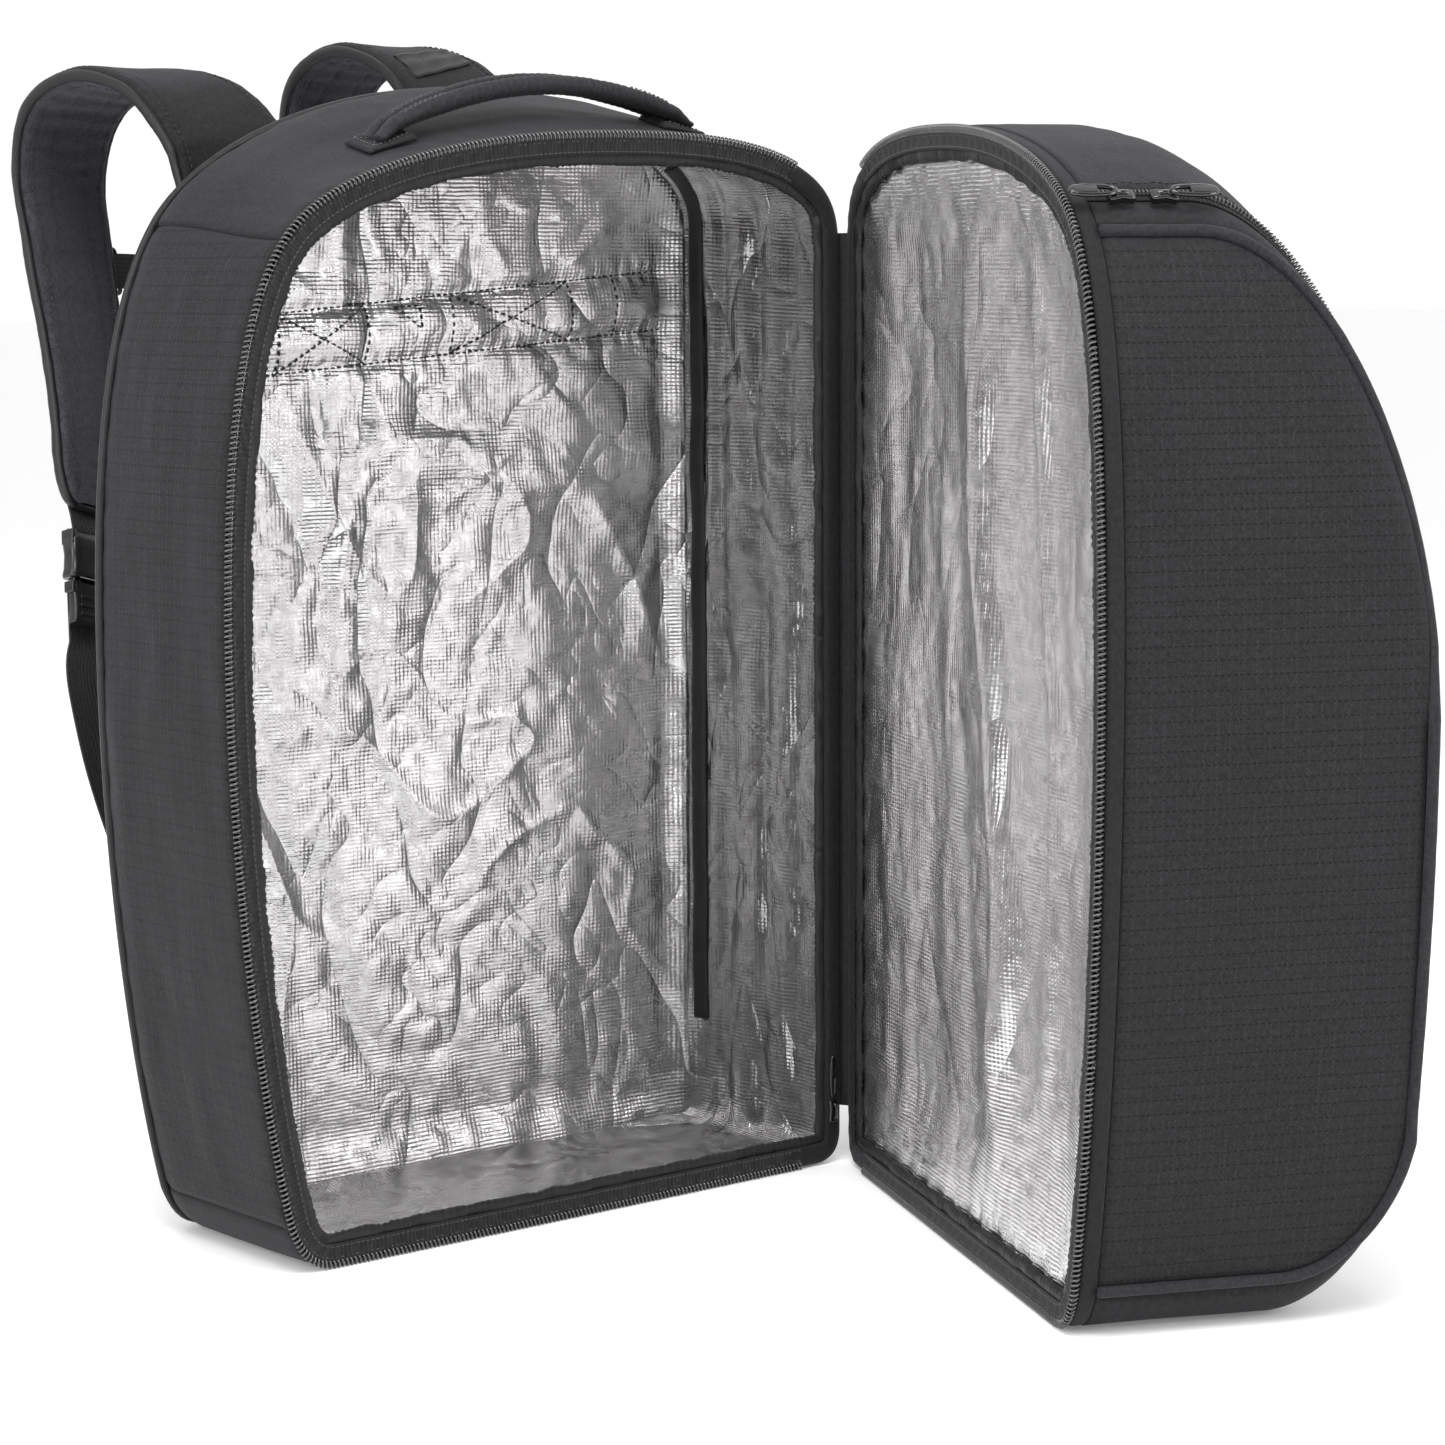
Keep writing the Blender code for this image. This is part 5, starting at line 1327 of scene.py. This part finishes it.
def rounded(half_w, half_t, r, n=4):
    """Rounded rectangle (side, normal)."""
    out = []
    for cx, cy, a0 in ((half_w - r, half_t - r, 0), (-half_w + r, half_t - r, 90), (-half_w + r, -half_t + r, 180), (half_w - r, -half_t + r, 270)):
        for k in range(n + 1):
            a = math.radians(a0 + 90 * k / n)
            out.append((cx + r * math.cos(a), cy + r * math.sin(a)))
    return np.array(out)


def strap(tag, points, foot_x, st_index, way, seed):
    body = tag + "_strap"
    n = 190 // RES
    path = spline(points, n)
    i = np.linspace(0, 1, n)
    a = np.radians(17.0) * sstep(i * 1.8)
    side = np.stack([np.cos(a), np.sin(a), 0 * a], 1)
    tang, s, nrm = frames(path, side)
    wide = 0.072 - 0.010 * sstep((i - 0.25) / 0.4) - 0.016 * sstep((i - 0.62) / 0.3)
    end = (1 - i) * 33 / 3.0
    wide = wide * np.where(end < 1, 0.50 + 0.50 * np.sqrt(np.clip(1 - (1 - end) ** 2, 0, 1)), 1.0)
    half = wide / 2 - 0.0006
    # cross section: outer face (twill) along +normal or -normal, inner face (mesh foam)
    m = 44 // RES
    k = np.linspace(-1, 1, m)
    run = np.concatenate([[0], np.cumsum(np.linalg.norm(np.diff(path, axis=0), axis=1))])
    # the normal that looks away from the bag's back is the outer face; at the crest it looks up
    outward = nrm if nrm[n // 2] @ np.array([0, 1.0, 0]) > 0 else -nrm
    for face, sgn, mat in (("outer", 1, M_TWILL2), ("inner", -1, M_MESH)):
        X = half[:, None] * k[None]
        edge = np.clip(1 - np.abs(k), 0, 1)[None]
        q = 1 - (1 - np.clip(edge * 5, 0, 1)) ** 2
        puff = 0.0052 * np.sqrt(np.clip(q, 0, 1))
        wr = 0.0007 * fbm(run[:, None] * 30, X * 26, seed + (3 if sgn > 0 else 9), 3) + 0.0006 * fbm(run[:, None] * 95, X * 20, seed + 5, 2)
        roll = 0.0007 * np.exp(-((half[:, None] - np.abs(X) - 0.0075) / 0.0011) ** 2)
        if sgn < 0:
            roll = roll + 0.0007 * np.exp(-(np.abs(np.abs(X) - 0.012) / 0.0014) ** 2)
        curve = np.gradient(tang, run, axis=0)
        bend = np.sum(curve * outward, 1)[:, None] * -sgn
        gather = 0.00055 * np.clip(-bend / 12, 0, 1) * np.sin(run[:, None] * 2 * math.pi / 0.0115 + 2 * fbm(run[:, None] * 30, X * 12, seed + 8)) * q
        h = np.maximum(puff + (wr - roll + gather) * sstep(edge, 0, 0.12), 0.0004)
        P = path[:, None] + s[:, None] * X[..., None] + outward[:, None] * (sgn * h)[..., None]
        obj = grid("%s_pad_%s" % (tag, face), P, X, run[:, None] + 0 * X, mat, body, (tag + "_strap_pad",), path.mean(0), True, slot="strap_padding")
        # orient by normal direction explicitly
        mesh = obj.data
        mesh.update()
        ctr = np.array([f_.center for f_ in mesh.polygons])
        nn_ = np.array([f_.normal for f_ in mesh.polygons])
        near = np.argmin(((ctr[:, None] - path[None, ::6]) ** 2).sum(-1), 1) * 6
        near = np.minimum(near, n - 1)
        if np.sum(nn_ * outward[near]) * sgn < 0:
            mesh.flip_normals()
    # bound edge all round
    capn = 20
    left = path + s * half[:, None]
    right = path - s * half[:, None]
    tip = path[-1]
    bound = np.vstack([left, right[::-1]])
    bound = resample(np.vstack([left, right[::-1]]), 420 // RES)
    outn = resample(np.vstack([outward, outward[::-1]]), 420 // RES)
    rr = 1 + 0.10 * fbm(np.linspace(0, 1, len(bound)) * 120, 0, seed + 12)
    ang = np.linspace(0, 2 * math.pi, 10, endpoint=False)
    sect = np.stack([0.0030 * rr[:, None] * np.cos(ang), 0.0021 * rr[:, None] * np.sin(ang)], -1)
    sweep("%s_pad_binding" % tag, bound, outn, sect, M_SATIN, body, (), slot="black_trim")
    # stitch lines along both edges on both faces
    for face, sgn in (("outer", 1), ("inner", -1)):
        runs = []
        for e in (-1, 1):
            line = path + s * (e * (half - 0.0062))[:, None] + outward * (sgn * 0.0050)
            runs.append((line[3:-4], outward[3:-4] * sgn))
        stitches("%s_pad_stitch_%s" % (tag, face), runs, body, M_THREAD, 0.0036, 0.0026, 0.0003)
    # buckle frame
    E, t, sd = path[-1], unit(points[-1] - np.asarray(points[-2])), None
    t = tang[-1]
    sd = unit(s[-1])
    nb = np.cross(t, sd)
    ow = outward[-1]

    def local(x, y, z):
        return E + sd * x + nb * y + t * z
    # webbing runs down the outer face of the pad to the buckle, sewn on a patch
    o_sign = 1 if ow @ nb > 0 else -1
    k0 = int(n * 0.70)
    web_path = np.vstack([path[k0:-6] + outward[k0:-6] * 0.0058, [local(0, o_sign * 0.0040, -0.004), local(0, o_sign * 0.0012, 0.006), local(0, 0, 0.0125), local(0, 0, 0.0168)]])
    web_path = resample(web_path, 90 // RES)
    wside = np.broadcast_to(sd, web_path.shape)
    sweep("%s_web_upper" % tag, web_path, wside, rounded(0.0122, 0.0008, 0.0006, 2), M_WEB, body, (tag + "_upper_webbing",), slot="webbing")
    # patch with box stitch
    pk = int(n * 0.86)
    pp = path[pk] + outward[pk] * 0.0068
    tt, ss, oo = tang[pk], s[pk], outward[pk]
    block("%s_patch" % tag, pp, ss, tt, oo, (0.0155, 0.0165, 0.0010), M_WEB, body, (), 0.0005, lambda p: p + np.array([0, 0, 1]) * 0.0003 * np.sin(p[:, 1:2] * 900), sub=5)
    top = pp + oo * 0.0013
    h1, h2 = ss * 0.0130, tt * 0.0140
    cs = [top - h1 - h2, top + h1 - h2, top + h1 + h2, top - h1 + h2]
    runs = [(np.linspace(cs[j], cs[(j + 1) % 4], 12), oo) for j in range(4)] + [(np.linspace(cs[0], cs[2], 14), oo), (np.linspace(cs[1], cs[3], 14), oo)]
    stitches("%s_patch_stitch" % tag, [(p, np.broadcast_to(nv, p.shape)) for p, nv in runs], body, M_THREAD2, 0.0028, 0.0021, 0.0003)
    # socket sleeve
    rows = []
    ts = np.array([0.0170, 0.0180, 0.0200, 0.0275, 0.0350, 0.0385, 0.0400])
    grow = np.array([0.82, 0.93, 1.0, 0.94, 0.97, 1.02, 1.0])
    outer = rounded(0.0168, 0.0053, 0.0036, 5)
    inner = rounded(0.0140, 0.0032, 0.0024, 5)
    ring_rows = [outer * g for g in grow] + [inner * 1.0, inner * 1.0, inner * 0.96]
    zs = list(ts) + [0.0400, 0.0300, 0.0205]
    P = np.array([[local(x, y, z) for x, y in np.vstack([r_, r_[:1]])] for r_, z in zip(ring_rows, zs)])
    obj = grid("%s_buckle_sleeve" % tag, P, np.array(zs)[:, None], np.linspace(0, 0.08, P.shape[1])[None], M_PLASTIC, body, (tag + "_buckle_socket",), local(0, 0, 0.03), True, closed_v=True, slot="buckle_plastic")
    # top bar of the socket, which the webbing goes round
    barp = np.array([local(x, 0, 0.0165) for x in np.linspace(-0.0158, 0.0158, 14)])
    sweep("%s_buckle_bar" % tag, barp, t, circle(0.0024, 10), M_PLASTIC, body, slot="buckle_plastic")
    for e in (-1, 1):
        block("%s_buckle_cheek_%s" % (tag, "a" if e < 0 else "b"), local(e * 0.0150, 0, 0.0185), sd, nb, t, (0.0016, 0.0042, 0.0040), M_PLASTIC, body, (), 0.0009, None, sub=1)
    # raised panel on the face
    block("%s_buckle_face" % tag, local(0, o_sign * 0.0054, 0.0300), sd, nb * o_sign, t, (0.0078, 0.0006, 0.0066), M_PLASTIC, body, (), 0.0004, lambda p: p * np.where(np.abs(p[:, 2:3]) < 9, 1.0, 1.0) + np.array([0, 0.0004, 0]) * np.cos(p[:, 2:3] * 220), sub=3)
    # prong half
    prong = tag + "_prongs"
    half_t = 0.0020
    ribs_z = np.linspace(0.0420, 0.0640, 16)
    widths = 0.0148 - 0.0012 * np.sin(np.linspace(0, math.pi, 16))
    P = []
    for z_, w_ in zip(ribs_z, widths):
        sec = rounded(w_, 0.0030, 0.0018, 4)
        P.append([local(x, y, z_) for x, y in np.vstack([sec, sec[:1]])])
    P = np.array(P)
    c0, c1 = P[0].mean(0), P[-1].mean(0)
    P = np.concatenate([np.broadcast_to(c0, P[:1].shape), P[:1] * 0.97 + c0 * 0.03, P, P[-1:] * 0.97 + c1 * 0.03, np.broadcast_to(c1, P[:1].shape)])
    grid("%s_prong_block" % tag, P, np.linspace(0, 0.03, len(P))[:, None], np.linspace(0, 0.08, P.shape[1])[None], M_PLASTIC, prong, (tag + "_buckle_prongs",), local(0, 0, 0.053), True, closed_v=True, slot="buckle_plastic")
    for e in (-1, 1):
        arm = np.array([local(e * (0.0108 + 0.0012 * math.sin(q_ * math.pi)), 0, 0.0425 - 0.0200 * q_) for q_ in np.linspace(0, 1, 14)])
        wv = 0.0022 - 0.0009 * np.linspace(0, 1, 14) ** 2
        sect = np.array([rounded(w_, 0.0018, 0.0009, 3) for w_ in wv])
        sweep("%s_prong_arm_%s" % (tag, "a" if e < 0 else "b"), arm, np.broadcast_to(sd, arm.shape), sect, M_PLASTIC, prong, slot="buckle_plastic")
        block("%s_prong_grip_%s" % (tag, "a" if e < 0 else "b"), local(e * 0.0146, 0, 0.0450), sd, nb, t, (0.0016, 0.0034, 0.0030), M_PLASTIC, prong, (), 0.0008, None, sub=1)
    for z_ in (0.0500, 0.0545, 0.0590):
        block("%s_prong_rib_%d" % (tag, int(z_ * 10000)), local(0, 0.0031, z_), sd, nb, t, (0.0105, 0.0005, 0.0008), M_PLASTIC, prong, (), 0.0003, None)
    # lower webbing
    foot = np.array([foot_x, 0.0745, 0.060])
    start, st_end = local(0, -0.0046, 0.0440), local(0, -0.0044, 0.1020)
    mid_ = (st_end + foot) / 2 + np.array([0, 0.010, 0.0])
    wp = spline([start, local(0, -0.0045, 0.0720), st_end, mid_, foot + np.array([0, 0.0015, 0.030]), foot], 170 // RES)
    fr = sstep((np.linspace(0, 1, len(wp)) - 0.3) / 0.6)[:, None]
    ws = sd * (1 - fr) + np.array([1.0, 0, 0]) * fr
    wave = 0.0012 * np.sin(np.linspace(0, 1, len(wp)) * 14) * np.sin(np.linspace(0, 1, len(wp)) * math.pi)
    wp = wp + np.array([1.0, 0, 0]) * wave[:, None]
    sweep("%s_web_lower" % tag, wp, ws, rounded(0.0122, 0.0008, 0.0006, 2), M_WEB, body, (tag + "_lower_webbing",), slot="webbing")
    # wing patch on the back panel with box stitch
    ac = np.array([foot_x, 0.0704, 0.045])
    block("%s_wing" % tag, ac, (1, 0, 0), (0, 0, 1), (0, 1, 0), (0.0220, 0.0200, 0.0015), M_TWILL2, "main_body", (tag + "_webbing_anchor",), 0.0008, lambda p: np.stack([p[:, 0] * (1 - 0.30 * np.clip((p[:, 1] + 0.02) / 0.04, 0, 1)), p[:, 1], p[:, 2] + 0.0004 * np.sin(p[:, 0] * 500)], 1), sub=7)
    top = ac + np.array([0, 0.0018, 0])
    cs = [top + np.array([x, 0, z]) for x, z in ((-0.0185, -0.017), (0.0185, -0.017), (0.0125, 0.017), (-0.0125, 0.017))]
    runs = [(np.linspace(cs[j], cs[(j + 1) % 4], 12), np.array([0, 1.0, 0])) for j in range(4)] + [(np.linspace(cs[0], cs[2], 14), np.array([0, 1.0, 0])), (np.linspace(cs[1], cs[3], 14), np.array([0, 1.0, 0]))]
    stitches("%s_wing_stitch" % tag, [(p, np.broadcast_to(nv, p.shape)) for p, nv in runs], "main_body", M_THREAD2, 0.0030, 0.0021, 0.0003)
    # sternum strap half
    cad = spline(points, 34)
    ctan = np.gradient(cad, axis=0)
    ctan /= np.linalg.norm(ctan, axis=1)[:, None]
    ai = math.radians(17.0) * float(sstep(st_index / 33 * 1.8))
    p, t2 = cad[st_index], ctan[st_index]
    s2 = np.array([math.cos(ai), math.sin(ai), 0.0])
    s2 = unit(s2 - t2 * np.dot(s2, t2))
    flat2 = s2 * way
    n2 = np.cross(t2, flat2)
    w0, w1 = p + flat2 * 0.026, p + flat2 * (0.0320 + 0.0245)
    wp = np.linspace(w0, w1, 26) + n2 * (0.0009 * np.sin(np.linspace(0, math.pi, 26)))[:, None]
    sweep("%s_sternum_web" % tag, wp, np.broadcast_to(t2, wp.shape), rounded(0.0094, 0.0008, 0.0006, 2), M_WEB, body, (tag + "_sternum_webbing",), slot="webbing")
    # slide loop on the pad's edge
    lc = p + flat2 * 0.0335
    a_ = np.linspace(0, 2 * math.pi, 37)[:-1]
    loop = lc + t2 * (0.0118 * np.sign(np.sin(a_)) * np.abs(np.sin(a_)) ** 0.5)[:, None] + flat2 * (0.0030 * np.sign(np.cos(a_)) * np.abs(np.cos(a_)) ** 0.6)[:, None]
    ring_loop("%s_sternum_ring" % tag, loop, n2, 0.0013, M_PLASTIC, body, (), "buckle_plastic")
    bc = p + flat2 * (0.0320 + 0.0125 + 0.0115 + 0.0005 + 0.0085)
    block("%s_sternum_clip" % tag, bc, flat2, n2, t2, (0.0085, 0.0033, 0.0122), M_PLASTIC, body, (tag + "_sternum_buckle",), 0.0018, lambda q_: np.stack([q_[:, 0], q_[:, 1] * (1 + 0.10 * np.cos(q_[:, 0] * 300)), q_[:, 2] * (1 - 0.12 * np.exp(-(q_[:, 0] / 0.004) ** 2))], 1), sub=3)
    for e in (-1, 1):
        block("%s_sternum_slot_%s" % (tag, "a" if e < 0 else "b"), bc + n2 * 0.0034 + t2 * e * 0.0052, flat2, n2, t2, (0.0050, 0.0004, 0.0016), M_PLASTIC, body, (), 0.00025, None)
    if tag == "right":
        p7, t7 = cad[7], ctan[7]
        a7 = math.radians(17.0) * float(sstep(7 / 33 * 1.8))
        s7 = np.array([math.cos(a7), math.sin(a7), 0.0])
        s7 = unit(s7 - t7 * np.dot(s7, t7))
        n7 = np.cross(t7, s7)
        n7 = n7 if n7[2] > 0 else -n7
        # the woven tag is sewn flat round the outer face, so it follows the strap
        i0 = 7 / 33
        ii = np.linspace(i0 - 0.0085 / length_of(path), i0 + 0.0085 / length_of(path), 14)
        xs = np.linspace(-0.0240, 0.0240, 26)
        src = np.linspace(0, 1, n)

        def at(arr):
            return np.stack([np.interp(ii, src, arr[:, c_]) for c_ in range(3)], 1)
        pc_, sc_, oc_ = at(path), at(s), at(outward)
        lift = 0.0060 + 0.0003 * np.sin(xs[None] * 300) + 0.0003 * np.cos((ii[:, None] - i0) * 300)
        Pt = pc_[:, None] + sc_[:, None] * xs[None, :, None] + oc_[:, None] * lift[..., None]
        grid("right_blank_tag", Pt, xs[None] + 0 * lift, (ii[:, None] - i0) * 0.38 + 0 * lift, M_SATIN, body, ("right_strap_tag",), path.mean(0), True, thick=0.0010, slot="black_trim")
        runs = [(Pt[1] + oc_[1] * 0.0002, oc_[1]), (Pt[-2] + oc_[-2] * 0.0002, oc_[-2])]
        stitches("right_tag_stitch", [(p_, np.broadcast_to(nv, p_.shape)) for p_, nv in runs], body, M_THREAD2, 0.0026, 0.0019, 0.00025)


strap("left", LEFT_PTS, -0.125, 21, 1, 201)
strap("right", RIGHT_PTS, 0.060, 27, -1, 221)

# yoke that the straps are sewn under, on the back panel
yc = np.array([-0.022, 0.0736, 0.4900])
block("yoke", yc, (1, 0, 0), (0, 0, 1), (0, 1, 0), (0.110, 0.0165, 0.0044), M_TWILL, "main_body", ("strap_yoke",), 0.0022,
      lambda p: np.stack([p[:, 0], p[:, 1], p[:, 2] * (0.72 + 0.28 * np.sqrt(np.clip(1 - (p[:, 1] / 0.0168) ** 2, 0, 1))) + 0.0003 * np.sin(p[:, 0] * 260)], 1), sub=15)
runs = []
for dz in (-0.0125, 0.0125):
    for dd_ in (0, 0.0022):
        x = np.linspace(-0.107, 0.107, 60)
        runs.append((np.stack([yc[0] + x, np.full(60, yc[1] + 0.00375), np.full(60, yc[2] + dz + (dd_ if dz < 0 else -dd_))], 1), np.array([0, 1.0, 0])))
stitches("yoke_stitch", [(p, np.broadcast_to(nv, p.shape)) for p, nv in runs], "main_body", M_THREAD2, 0.0034, 0.0025, 0.0003)

# ================================================================ fabric hinge between the two shells
zz = np.linspace(0.030, 0.500, 130 // RES)
kk = np.linspace(0, 1, 13)
A = np.array([HINGE_X + 0.0002, HINGE_Y + 0.0075, 0.0])
B = HINGE + DE * 0.0002 + DN * 0.0075
C = HINGE + np.array([0.0016, -0.0008, 0.0])
Pq = np.zeros((len(zz), 13, 3))
for j, k in enumerate(kk):
    base = (1 - k) ** 2 * A + 2 * k * (1 - k) * C + k * k * B
    Pq[:, j] = base
    Pq[:, j, 2] = zz
    Pq[:, j, :2] += (np.array([1, -0.2]) / 1.02)[None] * (0.0005 * fbm(zz * 40, k * 3 + 0 * zz, 301) * math.sin(math.pi * k))[:, None]
mesh_obj = grid("hinge_strip", Pq, (kk * 0.017)[None], zz[:, None], M_TWILL, "main_body", (), MAIN_REF, True, slot="ripstop_shell")
mesh_obj.parent = None
for key in list(mesh_obj.keys()):
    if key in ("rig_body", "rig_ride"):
        del mesh_obj[key]
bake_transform(mesh_obj)

# ================================================================ floor, world, light
mesh = bpy.data.meshes.new("floor")
mesh.from_pydata([(-30, -30, -0.0006), (30, -30, -0.0006), (30, 30, -0.0006), (-30, 30, -0.0006)], [], [(0, 1, 2, 3)])
floor = bpy.data.objects.new("floor", mesh)
scene.collection.objects.link(floor)
fm = Mat("floor_paper")
fn_ = fm.noise(fm.coords(), 3.0, 3, 0.5)
fm.b.inputs["Emission Color"].default_value = (1, 1, 1, 1)
fm.b.inputs["Emission Strength"].default_value = 0.13
fm.set(fm.mix(fn_, (0.95, 0.95, 0.955), (0.97, 0.97, 0.97)), 0.62, 0.0, fm.bump(fm.noise(fm.coords(), 220, 2, 0.5), 0.05, 0.0004))
mesh.materials.append(fm.m)

world = scene.world or bpy.data.worlds.new("world")
scene.world = world
world.use_nodes = True
wt = world.node_tree
bg = wt.nodes["Background"]
tc = wt.nodes.new("ShaderNodeTexCoord")
dot = wt.nodes.new("ShaderNodeVectorMath")
dot.operation = "DOT_PRODUCT"
wt.links.new(tc.outputs["Generated"], dot.inputs[0])
dot.inputs[1].default_value = (0.50, 0.62, 0.60)
ramp = wt.nodes.new("ShaderNodeMapRange")
ramp.interpolation_type = "SMOOTHSTEP"
wt.links.new(dot.outputs["Value"], ramp.inputs[0])
for k, v in enumerate((-0.45, 0.50, 0.20, 1.0)):
    ramp.inputs[k + 1].default_value = v
wt.links.new(ramp.outputs[0], bg.inputs[0])
bg.inputs[1].default_value = 1.03


def area(name, at, look, size, power, size_y=None):
    d = bpy.data.lights.new(name, "AREA")
    d.shape = "RECTANGLE"
    d.size = size
    d.size_y = size_y or size
    d.energy = power
    o = bpy.data.objects.new(name, d)
    o.location = at
    o.rotation_euler = (Vector(look) - Vector(at)).to_track_quat("-Z", "Y").to_euler()
    scene.collection.objects.link(o)
    return o


area("key_top", (-0.6, -1.0, 2.2), (0, 0, 0.25), 1.2, 40)
area("left_fill", (-2.4, -0.4, 1.1), (0, 0, 0.3), 1.3, 16)
area("front_right", (0.9, -2.4, 0.9), (0, 0, 0.3), 0.8, 22, 1.6)
area("door_strip", (-1.9, -0.15, 1.0), (0.0, -0.25, 0.3), 0.6, 11, 1.8)
scene.view_settings.view_transform = "Standard"
scene.view_settings.look = "None"
scene.view_settings.exposure = 0.0

bpy.context.view_layer.update()
